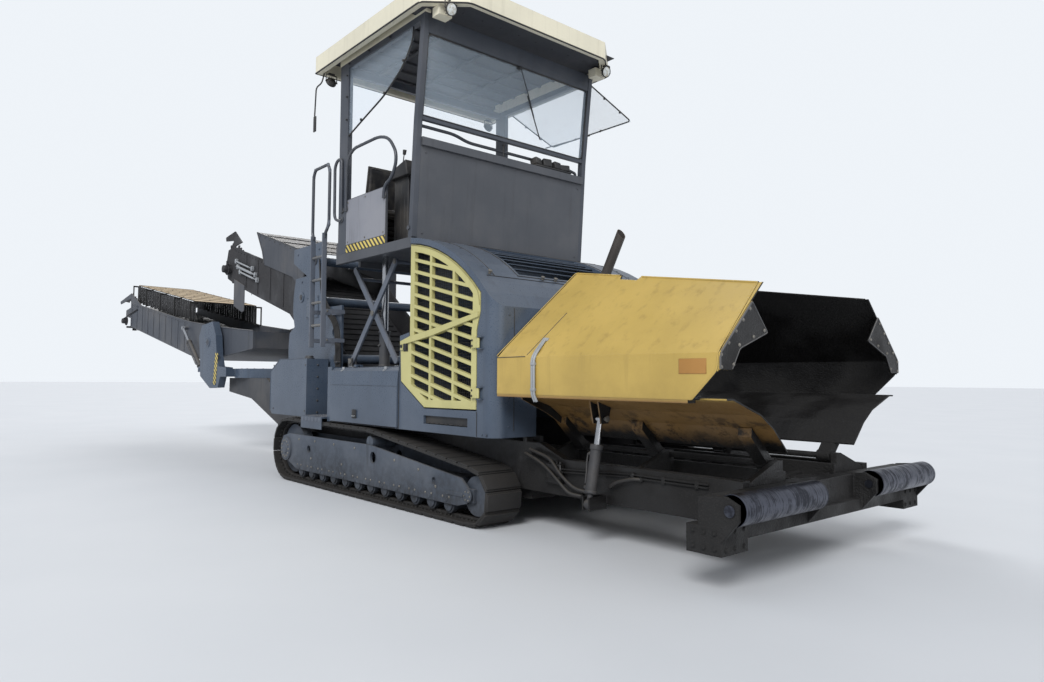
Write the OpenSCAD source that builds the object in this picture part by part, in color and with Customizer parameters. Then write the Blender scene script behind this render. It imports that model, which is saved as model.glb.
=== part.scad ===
// Tracked asphalt feeder: a front receiving hopper with two folding wings, an
// engine body with grille doors, an operator platform on a scissor lift, a main
// conveyor that rises to the rear, and a swivelling discharge conveyor.
// Millimetres. Lengths along the machine are stations: distances behind the
// axis of the push rollers. Heights are above the ground, and widths are from
// the centre line, with the right side at -Y.

/* [Overall] */
// Push roller axis ahead of the origin
front_x = 8250; // [7800:10:8700]
// Origin to the left of the centre line, so that it is in the middle of the outline
side_shift = 315; // [250:5:380]

/* [Tracks] */
// Outer face of the tracks from the centre line
track_out = 1380; // [1360:5:1400]
// Width of the track shoes
shoe_w = 400; // [360:5:410]
// Height of a track shoe
shoe_h = 40; // [30:1:45]
// Shoes on each track
shoe_n = 58; // [52:1:62]
// Thickness of the chain behind the shoes
chain_t = 30; // [20:1:34]
// Station of the rear sprocket
sprocket_s = 6720; // [6650:10:6760]
// Radius of the sprocket at the chain's outer side
sprocket_r = 360; // [345:1:370]
// Station of the front idler
idler_s = 2730; // [2700:10:2800]
// Radius of the idler at the chain's outer side
idler_r = 230; // [215:1:240]
// Station of the upper carrier roller
carrier_s = 4620; // [4500:10:4700]
// Top of the chain over the carrier roller
carrier_top = 740; // [725:1:750]
// Bottom rollers on each side
roller_n = 12; // [8:1:13]
// Radius of a bottom roller
roller_r = 80; // [60:1:85]

/* [Chassis] */
// Outer face of the chassis side beams from the centre line
beam_y = 930; // [915:1:940]
// Thickness of the chassis side beams
beam_t = 80; // [60:1:90]
// Underside of the chassis side beams
beam_z0 = 330; // [310:5:350]
// Top of the chassis side beams
beam_z1 = 760; // [740:5:770]
// Diameter of the tow pin holes
tow_d = 60; // [40:1:70]

/* [Push rollers] */
// Radius of a push roller
push_r = 100; // [80:1:110]
// Height of the push roller axis
push_z = 537; // [520:1:560]
// Inner end of a push roller from the centre line
push_y0 = 434; // [400:1:460]
// Outer end of a push roller from the centre line
push_y1 = 1440; // [1400:1:1450]

/* [Hopper] */
// Wing hinge from the centre line
hinge_y = 450; // [430:1:480]
// Height of the wing hinge
hinge_z = 720; // [700:1:740]
// Outer face of the wing's band from the centre line
band_y = 1343; // [1320:1:1360]
// Front end of the wings
wing_s0 = 160; // [150:5:200]
// Rear end of the wings
wing_s1 = 2400; // [2350:5:2405]
// Thickness of the wing plates
wing_t = 12; // [10:1:16]

/* [Body] */
// Front face of the engine body
body_s0 = 2470; // [2460:5:2500]
// Rear end of the hood
hood_s1 = 3840; // [3800:5:3850]
// Rear end of the low deck
deck_s1 = 5640; // [5600:5:5680]
// Half width of the body
body_y = 1330; // [1310:1:1340]
// Lower edge of the body
body_z0 = 800; // [790:5:820]
// Top of the low deck
deck_z = 1450; // [1430:5:1470]
// Thickness of the body walls
body_t = 40; // [30:1:50]
// Radius of the hood's top line
hood_r = 1975; // [1950:5:2000]

/* [Platform] */
// Half width of the platform
cab_y = 1250; // [1230:1:1270]
// Underside of the platform frame
floor_z0 = 2690; // [2680:5:2700]
// Top of the platform floor
floor_z1 = 2800; // [2790:5:2815]
// Rear end of the platform
cab_s1 = 5640; // [5600:5:5660]
// Top of the platform's front wall
wall_z1 = 3850; // [3800:10:3900]
// Lower edge of the roof
roof_z0 = 5125; // [5100:5:5150]
// Height of the roof's edge
roof_h = 210; // [180:5:230]
// Half width of the roof
roof_y = 1400; // [1380:5:1420]
// Front end of the roof
roof_s0 = 3300; // [3250:10:3400]
// Rear end of the roof
roof_s1 = 5990; // [5950:10:6050]

/* [Main conveyor] */
// Half width of the main conveyor's frame
conv_y = 760; // [740:5:780]
// Half width of the belts
belt_y = 600; // [550:5:620]
// Station of the head drum
head_s = 10650; // [10600:10:10700]
// Height of the head drum
head_z = 3400; // [3380:10:3420]
// Rise of the conveyor's rear part in degrees
conv_rise = 28; // [27.5:0.1:28.5]
// Height of the hopper floor's chain
floor_belt_z = 560; // [545:1:575]

/* [Discharge conveyor] */
// Station of the swivel axis
swivel_s = 10150; // [10100:10:10200]
// Swivel at rest, towards the right side, in degrees
swivel_rest = 4.5; // [3:0.1:6]
// Luff pins behind the swivel axis
luff_l = 1020; // [1000:5:1040]
// Height of the luff pins
luff_z = 1935; // [1925:5:1950]
// Half width of the discharge conveyor
boom_y = 750; // [740:5:760]
// Reach of the discharge drum from the swivel axis
boom_l = 5900; // [5600:10:6000]
// Top of the turntable
table_z = 1460; // [1440:5:1470]

/* [Hidden] */
$fn = 48;
eps = 0.5;
gap = 0.3;          // clearance of a running fit
seat = 0.2;         // distance of parts that rest on each other
slate = [0.33, 0.37, 0.43];
dark = [0.14, 0.15, 0.17];
grey = [0.45, 0.48, 0.52];
yellow = [0.93, 0.72, 0.16];
lemon = [0.90, 0.84, 0.42];
cream = [0.88, 0.86, 0.78];
steel = [0.62, 0.64, 0.66];
black = [0.07, 0.07, 0.08];

// The machine in the row's frame
module on_machine() translate([front_x, -side_shift, 0]) children();
// A piece of the left side, drawn as its right twin
module left_side() mirror([0, 1, 0]) children();
module both_sides() {
    children();
    mirror([0, 1, 0]) children();
}
// Block between two stations, two widths and two heights
module block(s0, s1, y0, y1, z0, z1) translate([-s1, y0, z0]) cube([s1 - s0, y1 - y0, z1 - z0]);
// Side outline of [station, height] points, extruded across the machine
module side_plate(pts, y0, y1)
    translate([0, y1, 0]) rotate([90, 0, 0]) linear_extrude(y1 - y0)
        polygon([for (p = pts) [-p[0], p[1]]]);
// Cross outline of [width, height] points, extruded along the machine
module cross_plate(pts, s0, s1)
    translate([-s1, 0, 0]) rotate([90, 0, 90]) linear_extrude(s1 - s0) polygon(pts);
module bar_y(s, z, y0, y1, r) translate([-s, y1, z]) rotate([90, 0, 0]) cylinder(r = r, h = y1 - y0);
module bar_x(y, z, s0, s1, r) translate([-s1, y, z]) rotate([0, 90, 0]) cylinder(r = r, h = s1 - s0);
// Round bar between two points given as [x, y, z]
module bar(a, b, r) {
    d = b - a;
    translate(a) rotate([0, acos(d[2] / norm(d)), atan2(d[1], d[0])]) cylinder(r = r, h = norm(d));
}
// Tube route, points as [station, width, height]; the pieces overlap a little at each bend
module pipe(pts, r) for (i = [0 : len(pts) - 2])
    let (a = at(pts[i]), b = at(pts[i + 1]), u = unit(b - a) * r * 0.55)
        bar(a - (i > 0 ? u : 0 * u), b + (i < len(pts) - 2 ? u : 0 * u), r, $fn = 10);
function at(p) = [-p[0], p[1], p[2]];
// Points of an arc of [station, height]: centre, radius, start and end angle
function arc(c, r, a0, a1, n) = [for (i = [0 : n]) let (a = a0 + (a1 - a0) * i / n) c + r * [cos(a), sin(a)]];
// Closed outline moved to its left by t
function unit(v) = v / norm(v);
function side_of(v) = [-v[1], v[0]];
function inset(p, t) = let (n = len(p)) [for (i = [0 : n - 1])
    let (u = side_of(unit(p[i] - p[(i + n - 1) % n])), v = side_of(unit(p[(i + 1) % n] - p[i]))) p[i] + t * (u + v) / (1 + u * v)];

// Track loop, from its three wheels: [x, z, radius] of the chain's outer side
ground_chain = shoe_h;
wheels = [[-sprocket_s, ground_chain + sprocket_r, sprocket_r],
    [-idler_s, ground_chain + idler_r, idler_r],
    [-carrier_s, carrier_top - 120, 120]];
function centre(w) = [w[0], w[1]];
// Angle of the outward normal of the run from wheel a to wheel b
function run_normal(a, b) = let (d = centre(b) - centre(a))
    atan2(d[1], d[0]) - acos((a[2] - b[2]) / norm(d));
function wrap(a) = a < 0 ? wrap(a + 360) : a >= 360 ? wrap(a - 360) : a;
// Lengths of run, arc, run, arc, run, arc
n_run = [for (i = [0 : 2]) run_normal(wheels[i], wheels[(i + 1) % 3])];
run_l = [for (i = [0 : 2]) let (a = wheels[i], b = wheels[(i + 1) % 3], d = norm(centre(b) - centre(a)))
    sqrt(d * d - pow(a[2] - b[2], 2))];
arc_a = [for (i = [0 : 2]) wrap(n_run[(i + 1) % 3] - n_run[i])];
arc_l = [for (i = [0 : 2]) arc_a[i] * PI / 180 * wheels[(i + 1) % 3][2]];
loop_l = run_l[0] + run_l[1] + run_l[2] + arc_l[0] + arc_l[1] + arc_l[2];
// Place on the loop at length t: [point, angle of the outward normal]
function on_loop(t, i = 0) = let (w = wheels[i], v = wheels[(i + 1) % 3], n = n_run[i])
    t <= run_l[i] ? [centre(w) + w[2] * [cos(n), sin(n)] + t * [-sin(n), cos(n)], n]
    : t <= run_l[i] + arc_l[i] ? let (a = n + (t - run_l[i]) / v[2] * 180 / PI)
        [centre(v) + v[2] * [cos(a), sin(a)], a]
    : on_loop(t - run_l[i] - arc_l[i], (i + 1) % 3);
pitch = loop_l / shoe_n;
// One shoe's outline, as [share of the pitch, height]
shoe_form = [[-0.46, 0], [-0.42, 1], [0.42, 1], [0.46, 0]];
track_outer = [for (k = [0 : shoe_n - 1]) let (p = on_loop((k + 0.5) * pitch), n = p[1])
    for (f = shoe_form) on_ground(p[0] + f[0] * pitch * [-sin(n), cos(n)] + f[1] * shoe_h * [cos(n), sin(n)])];
function on_ground(q) = [q[0], max(q[1], 0)];
track_inner = [for (k = [0 : shoe_n - 1]) let (p = on_loop((k + 0.5) * pitch), n = p[1])
    p[0] - chain_t * [cos(n), sin(n)]];

module track() color(dark) translate([0, -track_out + shoe_w, 0]) rotate([90, 0, 0])
    linear_extrude(shoe_w) difference() {
        polygon(track_outer);
        polygon(track_inner);
    }
module track_right() on_machine() track();
module track_left() on_machine() left_side() track();

// Track frame: side plates with their holes, box beam, rollers, sprocket and idler
plate_out = track_out - 25;
plate_in = track_out - shoe_w + 25;
plate_z0 = ground_chain + 2 * roller_r - 35;
wheel_clear = 20;   // between the chain's inner side and what turns inside it
plate_form = [[6420, plate_z0], [6830, 300], [6900, 420], [6830, 560], [6650, 600], [4640, 600],
    [4480, 590], [2900, 420], [2780, 330], [2800, 200], [2950, plate_z0]];
module frame_plate(y0) difference() {
    side_plate(plate_form, y0, y0 + 25);
    bar_y(4490, 470, y0 - 1, y0 + 26, 62);
    bar_y(6070, 440, y0 - 1, y0 + 26, 45);
    bar_y(3330, 350, y0 - 1, y0 + 26, 35);
}
module track_frame() color(grey) {
    frame_plate(-plate_out);
    frame_plate(-plate_in - 25);
    block(3050, 6300, -plate_out + 25, -plate_in - 25, 270, 400);
    // Bottom rollers with flanges
    roller_z = shoe_h + chain_t + roller_r + eps;
    for (i = [0 : roller_n - 1]) {
        s = 3130 + i * (6330 - 3130) / (roller_n - 1);
        bar_y(s, roller_z, -plate_out + 25, -plate_in - 25, roller_r - 18);
        for (y = [-plate_out + 40, -plate_in - 90])
            bar_y(s, roller_z, y, y + 50, roller_r);
    }
    // Sprocket, idler and carrier roller
    bar_y(sprocket_s, wheels[0][1], -plate_out - 18, -plate_in - 25, 150);
    bar_y(sprocket_s, wheels[0][1], -(plate_out + plate_in) / 2 - 60, -(plate_out + plate_in) / 2 + 60,
        sprocket_r - chain_t - wheel_clear);
    bar_y(idler_s + 60, wheels[1][1], -plate_out + 25, -plate_in - 25, 60);
    bar_y(idler_s, wheels[1][1], -plate_out + 60, -plate_in - 60, idler_r - chain_t - wheel_clear);
    block(idler_s, 2960, -plate_out + 26, -plate_in - 26, 210, 330);
    bar_y(carrier_s, carrier_top - 120, -plate_out + 30, -plate_in - 30, 120 - chain_t - wheel_clear);
    block(carrier_s - 40, carrier_s + 40, -plate_out + 90, -plate_in - 90, 390, carrier_top - 120);
    // Arms to the chassis beams
    for (s = [3500, 5900]) block(s, s + 260, -plate_in - 1, -beam_y, 400, 560);
}
module track_frame_right() on_machine() track_frame();
module track_frame_left() on_machine() left_side() track_frame();

// Chassis: two side beams, cross members, and the narrow rear arm of the turntable
rear_z1 = 1300;     // top of the rear arm
rear_y = 700;       // outer face of the rear arm
foot_w = 50;        // width of a cylinder's foot and eye
ear_t = 15;         // thickness of the ears beside a foot
pin_r = 16;         // radius of a cylinder's foot pin
module main_frame() color(dark) on_machine() {
    both_sides() {
        difference() {
            side_plate([[250, beam_z0], [7550, beam_z0], [7550, beam_z1], [2300, beam_z1], [2000, 640], [250, 640]],
                -beam_y, -beam_y + beam_t);
            bar_y(360, 480, -beam_y - 1, -beam_y + beam_t + 1, tow_d / 2);
            bar_y(7430, 480, -beam_y - 1, -beam_y + beam_t + 1, tow_d / 2);
        }
        // Rear arm, rising to the turntable
        side_plate([[7250, 360], [7900, 360], [9700, 960], [swivel_s + 600, 1060], [swivel_s + 600, rear_z1],
            [9100, rear_z1], [7700, 760], [7250, 740]], -rear_y, -rear_y + 60);
        // Bolting face on the inner side of the beam
        block(7250, 7330, -beam_y + beam_t + seat, -rear_y + 1, 360, 720);
        // Mounts of the engine body
        for (s = [[2475, 2525], [3900, 4150], [5250, 5500]])
            block(s[0], s[1], -beam_y, -beam_y + beam_t, beam_z1 - 1, body_z0 - seat);
        // Ears and pin of the wing cylinder's foot
        for (s = [wing_cyl_s - foot_w / 2 - ear_t - 2, wing_cyl_s + foot_w / 2 + 2])
            block(s, s + ear_t, -wing_foot[0] - 40, -beam_y + 1, wing_foot[1] - 45, wing_foot[1] + 60);
        bar_x(-wing_foot[0], wing_foot[1], wing_cyl_s - foot_w / 2 - ear_t - 2, wing_cyl_s + foot_w / 2 + ear_t + 2, pin_r);
    }
    // Cross members, bolted between the beams
    for (s = [500, 2500, 4650, 7060])
        block(s, s + 160, -beam_y + beam_t + seat, beam_y - beam_t - seat, 230, beam_z0 + 60);
    // Seat of the turntable on the rear arm
    difference() {
        union() {
            translate([-swivel_s, 0, rear_z1 - 90]) cylinder(r = rear_y, h = 90, $fn = 96);
            block(9250, swivel_s, -rear_y + 59, rear_y - 59, rear_z1 - 90, rear_z1);
        }
        translate([-swivel_s, 0, rear_z1 - 91]) cylinder(r = 250, h = 92);
    }
    for (p = [[8350, 640], [9500, 1000], [swivel_s + 500, 1070]])
        block(p[0], p[0] + 90, -rear_y + 59, rear_y - 59, p[1], p[1] + 90);
}

// Push roller beam with its roller brackets
push_s1 = 235;      // rear face of the beam
shaft_r = 30;       // radius of a roller's shaft
module push_beam() color(black) on_machine() {
    block(60, push_s1, -1400, 1400, 330, 420);
    block(push_r + 20, push_s1, -1400, 1400, 419, 600);
    both_sides() {
        for (y = [-push_y0 + 5, -push_y1 - 30]) difference() {
            side_plate([[push_s1 - 5, 335], [push_s1 - 5, 600], [30, 620], [-60, push_z + 40], [-60, push_z - 60],
                [60, 335]], y, y + 25);
            bar_y(0, push_z, y - 1, y + 26, shaft_r + gap);
        }
        // End boxes of the beam
        block(61, 320, -push_y1 - 31, -1180, 250, push_z - push_r - 12);
    }
    // Coupling block to the chassis
    block(push_s1 - 1, 250 - seat, -beam_y, beam_y, 350, 560);
}
module push_roller() color(steel) {
    bar_y(0, push_z, -push_y1, -push_y0, push_r);
    bar_y(0, push_z, -push_y1 - 40, -push_y0 + 40, shaft_r);
}
module push_roller_right() on_machine() push_roller();
module push_roller_left() on_machine() left_side() push_roller();

// Hopper floor: trough with its slatted chain, hinge tubes of the wings and cross members
trough_y = hinge_y - 40;    // outer face of the trough
knuckle_r = 44;
hinge_pin_r = 25;
hopper_s0 = 255;    // front edge of the hopper's floor
knuckles = [[320, 110], [1310, 110], [2190, 110]];      // [station, length]
module hopper_floor() color(black) on_machine() {
    block(hopper_s0, body_s0 - 5, -trough_y + 39, trough_y - 39, floor_belt_z - 30, floor_belt_z);
    both_sides() {
        block(hopper_s0, body_s0 - 5, -trough_y, -trough_y + 40, floor_belt_z - 30, hinge_z - knuckle_r - 8);
        // Slats of the chain
        for (s = [300 : 220 : 2300]) block(s, s + 60, -trough_y + 39, -20, floor_belt_z - eps, floor_belt_z + 22);
        // Hinge pin with its bearers on the beams
        bar_x(-hinge_y, hinge_z, hopper_s0, 2385, hinge_pin_r);
        for (s = [hopper_s0, 1230, 2325])
            cross_plate([[-trough_y + 1, floor_belt_z - 29], [-trough_y + 1, hinge_z + 30], [-hinge_y - 30, hinge_z + 30],
                [-beam_y + beam_t, 620], [-beam_y + beam_t, 520], [-hinge_y, floor_belt_z - 29]], s, s + 50);
    }
    for (s = [420, 1250, 2250])
        block(s, s + 90, -beam_y + beam_t, beam_y - beam_t, 470, floor_belt_z - 29);
}

// Hopper wing: floor plate, band and slanted wall in one bent plate, folded about its hinge
wall_top = 2005;        // height of the wall's front corner
wall_top_rear = 2315;   // height of the wall's rear corner
wall_top_s = [wing_s0 + 30, 2284];  // stations of those two corners
crease_z = 1505;        // height of the crease between band and wall
band_z = 1195;          // lower edge of the band
wall_k = 0.948;         // rise of the wall for each unit inwards
wall_in = 470;          // the wall's inner edge before its top is trimmed
function wall_top_z(s) = wall_top + (wall_top_rear - wall_top) * (s - wall_top_s[0]) / (wall_top_s[1] - wall_top_s[0]);
wing_form = [[hinge_y + 60, hinge_z + 96], [690, 985], [850, 1085], [1180, band_z], [band_y, band_z],
    [band_y, crease_z], [wall_in, crease_z + wall_k * (band_y - wall_in)]];     // [width, height] of the outer side
function wing_shift(i, t) = i < 4 ? [-0.3 * t, t] : i == 4 ? [-t, t] : i == 5 ? [-t, -0.3 * t] : [-1.4 * t, 0];
module wing_profile(t) polygon(concat([for (p = wing_form) [-p[0], p[1]]],
    [for (i = [len(wing_form) - 1 : -1 : 0]) let (p = wing_form[i] + wing_shift(i, t)) [-p[0], p[1]]]));
wing_flap = [[band_y - 2, 1395], [band_y - 2, crease_z - 3], [960, 1862], [770, 1655], [1110, 1534], [1205, 1395]];
module wing() color(yellow) {
    difference() {
        translate([-wing_s1, 0, 0]) rotate([90, 0, 90]) linear_extrude(wing_s1 - wing_s0) wing_profile(wing_t);
        // Sloping top edge, from the rear down to the front corner, with its slot
        side_plate([[100, wall_top], [wall_top_s[0], wall_top], [1390, wall_top_z(1390)], [1410, wall_top_z(1410) - 35],
            [1620, wall_top_z(1620) - 35], [1640, wall_top_z(1640)], [wall_top_s[1], wall_top_rear], [2500, wall_top_rear],
            [2500, 2600], [100, 2600]], -band_y - 10, 0);
        // Front chamfer of the band
        side_plate([[100, 1100], [370, 1100], [370, band_z + 3], [wing_s0 + 15, 1385], [100, 1385]], -band_y - 10, -band_y + 90);
        // Rear diagonal of the wall
        side_plate([[wing_s1 + 30, crease_z + 20], [wall_top_s[1] - 2, wall_top_rear + 10], [wing_s1 + 30, wall_top_rear + 10]],
            -band_y - 10, 0);
    }
    // Wear flap on the front edge of the wall
    cross_plate([for (p = wing_flap) [-p[0], p[1]]], wing_s0 - 12, wing_s0 + 1);
    // Lower lip of the band
    block(400, wing_s1, -band_y + 2, -band_y + 90, band_z - 22, band_z + 1);
    // Hinge knuckles with their arms
    for (k = knuckles) difference() {
        union() {
            bar_x(-hinge_y, hinge_z, k[0], k[0] + k[1], knuckle_r);
            cross_plate([[-hinge_y + 5, hinge_z + 38], [-hinge_y - 30, hinge_z - 20], [-715, 925], [-705, 990],
                [-505, 820]], k[0], k[0] + k[1]);
        }
        bar_x(-hinge_y, hinge_z, k[0] - 1, k[0] + k[1] + 1, hinge_pin_r + gap);
    }
    // Ears of the cylinder's eye
    for (s = [wing_cyl_s - foot_w / 2 - ear_t - 12, wing_cyl_s + foot_w / 2 + 12])
        cross_plate([[-wing_eye[0] - 40, wing_eye[1] - 40], [-wing_eye[0] + 40, wing_eye[1] - 40],
            [-wing_eye[0] + 70, 1100], [-wing_eye[0] - 80, 1150]], s, s + ear_t);
    // Stiffening rib under the floor plate
    cross_plate([[-505, 812], [-700, 980], [-850, 1086], [-1180, 1196], [-1180, 1150], [-880, 1020], [-715, 925]],
        2250, 2262);
}
module wing_right() on_machine() wing();
module wing_left() on_machine() left_side() wing();

// Wing cylinders: barrel hinged on the chassis, rod with its eye between the wing's ears
wing_cyl_s = 1540;
wing_foot = [1090, 335];     // [width, height] of the foot pin
wing_eye = [960, 1010];
wing_rod_r = 26;
wing_rod_z = 224;   // inner end of the rod from the foot pin
wing_cyl_l = norm(wing_eye - wing_foot);
wing_cyl_a = atan2(wing_eye[1] - wing_foot[1], wing_eye[0] - wing_foot[0]);
module along_wing_cyl() translate([-wing_cyl_s, -wing_foot[0], wing_foot[1]]) rotate([90 - wing_cyl_a, 0, 0]) children();
foot_l = 90;        // length of a foot with its neck
// Round foot of a cylinder on its pin, with the neck up to the barrel
module foot(r, bore, neck = 0) difference() {
    union() {
        rotate([0, 90, 0]) translate([0, 0, -foot_w / 2]) cylinder(r = r, h = foot_w);
        if (neck > 0) cylinder(r = foot_w / 2 - 1, h = neck);
    }
    if (bore > 0) rotate([0, 90, 0]) translate([0, 0, -foot_w / 2 - 1]) cylinder(r = bore, h = foot_w + 2);
}
module wing_barrel() color(dark) along_wing_cyl() {
    difference() {
        translate([0, 0, foot_l]) cylinder(r = 45, h = 470 - foot_l);
        translate([0, 0, foot_l + 10]) cylinder(r = wing_rod_r + gap, h = 400);
    }
    foot(38, pin_r + gap, foot_l + 1);
}
module wing_rod() color(steel) along_wing_cyl() {
    translate([0, 0, wing_rod_z]) cylinder(r = wing_rod_r, h = wing_cyl_l - wing_rod_z);
    translate([0, 0, wing_cyl_l]) foot(32, 0);
}
module wing_barrel_right() on_machine() wing_barrel();
module wing_barrel_left() on_machine() left_side() wing_barrel();
module wing_rod_right() on_machine() wing_rod();
module wing_rod_left() on_machine() left_side() wing_rod();

// Engine body: hood on an arc, rounded front corners, low rear deck, openings for doors and covers
hood_c = [hood_s1 + 217, 797];
hood_a0 = acos(-217 / hood_r);
hood_a1 = acos((body_s0 - hood_c[0]) / hood_r);
function hood_z(s) = hood_c[1] + sqrt(hood_r * hood_r - pow(s - hood_c[0], 2));
bay_drop = 62;      // thickness of the hood over the engine bay, measured upright
body_s1 = 4018;     // rear end of the hood's lower side
body_form = concat(arc(hood_c, hood_r, hood_a0, hood_a1, 10),
    [[body_s0, body_z0], [deck_s1, body_z0], [deck_s1, deck_z], [body_s1, deck_z], [body_s1, 1760], [hood_s1, 1790]]);
corner_r = 140;
module body_plan(t) {
    translate([-deck_s1 + t, -body_y + t]) square([deck_s1 - body_s0 - corner_r - t, 2 * (body_y - t)]);
    translate([-body_s0 - corner_r - 1, -body_y + corner_r]) square([corner_r + 1 - t, 2 * (body_y - corner_r)]);
    for (y = [-1, 1]) translate([-body_s0 - corner_r, y * (body_y - corner_r)]) circle(r = corner_r - t);
}
cover_s0 = 4030;
cover_s1 = 5530;
cover_z0 = 815;
bay_d = 210;        // depth of the battery bay
// Louvred part of the hood, in a frame that lies on the hood's slope
louvre_c = [3190, hood_z(3190) - 71.5];
louvre_tilt = 27;
louvre_w = 1480;
louvre_l = 820;
module on_hood() translate([-louvre_c[0], 0, louvre_c[1]]) rotate([0, louvre_tilt, 0]) children();
// Door hinge axis, in front of and outside the door
door_hinge = [2656, body_y + 22];   // [station, width]
hinge_z_list = [1150, 1600];        // lower ends of the two hinge barrels
hinge_h = 90;
hinge_r = 12;
hinge_pin = 7;
cover_hinge = [body_y - bay_d - 8, deck_z + 15];    // [width, height]
cover_hinge_s = [4220, 5240];
module engine_body() color(slate) on_machine() {
    difference() {
        intersection() {
            side_plate(body_form, -body_y, body_y);
            linear_extrude(3000) body_plan(0);
        }
        // Engine bay
        intersection() {
            side_plate([[body_s0 + 60, body_z0 - 1], [body_s0 + 60, hood_z(body_s0 + 60) - 150], [2800, hood_z(2800) - bay_drop],
                [3300, hood_z(3300) - bay_drop], [hood_s1 - body_t, hood_z(hood_s1 - body_t) - bay_drop], [hood_s1 - body_t, body_z0 - 1]], -body_y + body_t, body_y - body_t);
            linear_extrude(3000) body_plan(body_t);
        }
        // Bores of the lift rams
        both_sides() translate([-ram_s, -ram_y, ram_z0 - seat]) cylinder(r = ram_out + seat, h = 900);
        // Way of the main conveyor
        block(body_s0 - 1, deck_s1 + 1, -conv_y - 60, conv_y + 60, body_z0 - 1, 1330);
        both_sides() {
            side_plate(door_form(-12), -body_y - 1, -body_y + door_t + 6);
            block(cover_s0 - 8, cover_s1 + 8, -body_y - 1, -body_y + bay_d, cover_z0 - 8, deck_z + 1);
            // Foot recess under the door
            block(2840, 3560, -body_y - 1, -body_y + 30, 880, 960);
        }
        on_hood() translate([-louvre_l / 2, -louvre_w / 2, -250]) cube([louvre_l, louvre_w, 500]);
    }
    // Level louvre slats across the hood, one above the other, following its arc
    for (i = [0 : 6]) let (x = -louvre_l / 2 + 10 + i * 120) on_hood()
        translate([x, -louvre_w / 2 - 5, 5 - pow(x + 40, 2) / (2 * hood_r)]) rotate([0, -louvre_tilt, 0])
            cube([80, louvre_w + 10, 9]);
    both_sides() {
        // Brackets and pins of the door hinges
        for (z = hinge_z_list) {
            for (b = [z - 14, z + hinge_h + 2]) {
                block(2610, 2650, -body_y - 5, -body_y + 1, b, b + 12);
                block(2610, door_hinge[0] + hinge_r, -door_hinge[1] - hinge_r, -body_y - 4, b, b + 12);
            }
            translate([-door_hinge[0], -door_hinge[1], z - 10]) cylinder(r = hinge_pin, h = hinge_h + 20);
        }
        // Brackets and pins of the cover hinges
        for (s = cover_hinge_s) {
            for (b = [s - 14, s + 62]) block(b, b + 12, -cover_hinge[0] - 8, -cover_hinge[0] + 24, deck_z - 1, cover_hinge[1] + 8);
            bar_x(-cover_hinge[0], cover_hinge[1], s - 10, s + 70, hinge_pin);
        }
    }
}

// Grille door on the side of the hood: outline drawn in by d
door_front_z = hood_c[1] + sqrt(pow(hood_r - 70, 2) - pow(2664 - hood_c[0], 2));    // front end of its curved edge
function door_form(d) = concat(
    arc(hood_c, hood_r - 70 - d, acos((3828 - d - hood_c[0]) / (hood_r - 70 - d)),
        acos((2664 + d - hood_c[0]) / (hood_r - 70 - d)), 8),
    [[2664 + d, door_front_z - 166], [2716 + d, door_front_z - 336], [2716 + d, 1046 + d], [3552 - d * 0.4, 1040 + d], [3985 - d, 1294 + d * 0.4],
    [4006 - d, 1700], [3828 - d, 1745]]);
door_t = 45;
row_tan = tan(14);
cell_cols = [[2775, 3060], [3095, 3445], [3480, 3800]];   // [front, rear] station of each column of openings
row_pitch = 118;
row_bar = 34;
door_rows = 14;
module door_cells() for (c = cell_cols, j = [0 : door_rows - 1]) {
    z = 860 + j * row_pitch;
    polygon([[-c[0], z + row_tan * (c[0] - 2700)], [-c[1], z + row_tan * (c[1] - 2700)],
        [-c[1], z + row_pitch - row_bar + row_tan * (c[1] - 2700)],
        [-c[0], z + row_pitch - row_bar + row_tan * (c[0] - 2700)]]);
}
module swoosh() polygon([[-3990, 1660], [-3990, 1725], [-3440, 1800], [-2680, 1925], [-2680, 1880], [-3440, 1735]]);
module grille_door() color(lemon) {
    translate([0, -body_y + door_t, 0]) rotate([90, 0, 0]) linear_extrude(door_t) difference() {
        polygon([for (p = door_form(0)) [-p[0], p[1]]]);
        intersection() {
            polygon([for (p = door_form(75)) [-p[0], p[1]]]);
            difference() {
                door_cells();
                swoosh();
            }
        }
    }
    // Raised bar across the grille, and the latch
    translate([0, -body_y + 5, 0]) rotate([90, 0, 0]) linear_extrude(20) intersection() {
        swoosh();
        polygon([for (p = door_form(3)) [-p[0], p[1]]]);
    }
    block(3940, 3990, -body_y - 14, -body_y + 1, 1610, 1690);
    for (z = hinge_z_list) difference() {
        union() {
            translate([-door_hinge[0], -door_hinge[1], z]) cylinder(r = hinge_r, h = hinge_h);
            block(door_hinge[0], 2760, -door_hinge[1] - 4, -door_hinge[1] + 4, z, z + hinge_h);
            block(2730, 2760, -door_hinge[1] - 4, -body_y + 1, z, z + hinge_h);
        }
        translate([-door_hinge[0], -door_hinge[1], z - 1]) cylinder(r = hinge_pin + gap, h = hinge_h + 2);
    }
}
module grille_door_right() on_machine() grille_door();
module grille_door_left() on_machine() left_side() grille_door();

// Engine as one plain block on two bearers along the bay
module engine_block() color(dark) on_machine() {
    block(2720, 3680, -560, 560, 1400, 2130);
    for (y = [-600, 520]) block(body_s0 + 60 + seat, hood_s1 - body_t - seat, y, y + 80, 1340, 1401);
}

// Exhaust pipe through the hood, leaning forward, cut off square
pipe_foot = [2840, 400, hood_z(2840) - 113];  // [station, width, height]
pipe_top = [2530, 400, hood_z(2840) + 447];
pipe_r = 62;
module exhaust_pipe() color(dark) on_machine() difference() {
    bar(at(pipe_foot), at(pipe_top), pipe_r);
    bar(at((pipe_foot + pipe_top) / 2), at(pipe_top + (pipe_top - pipe_foot) * 0.1), pipe_r - 6);
    translate([0, 0, seat]) side_plate(body_form, 0, body_y);
}

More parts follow.
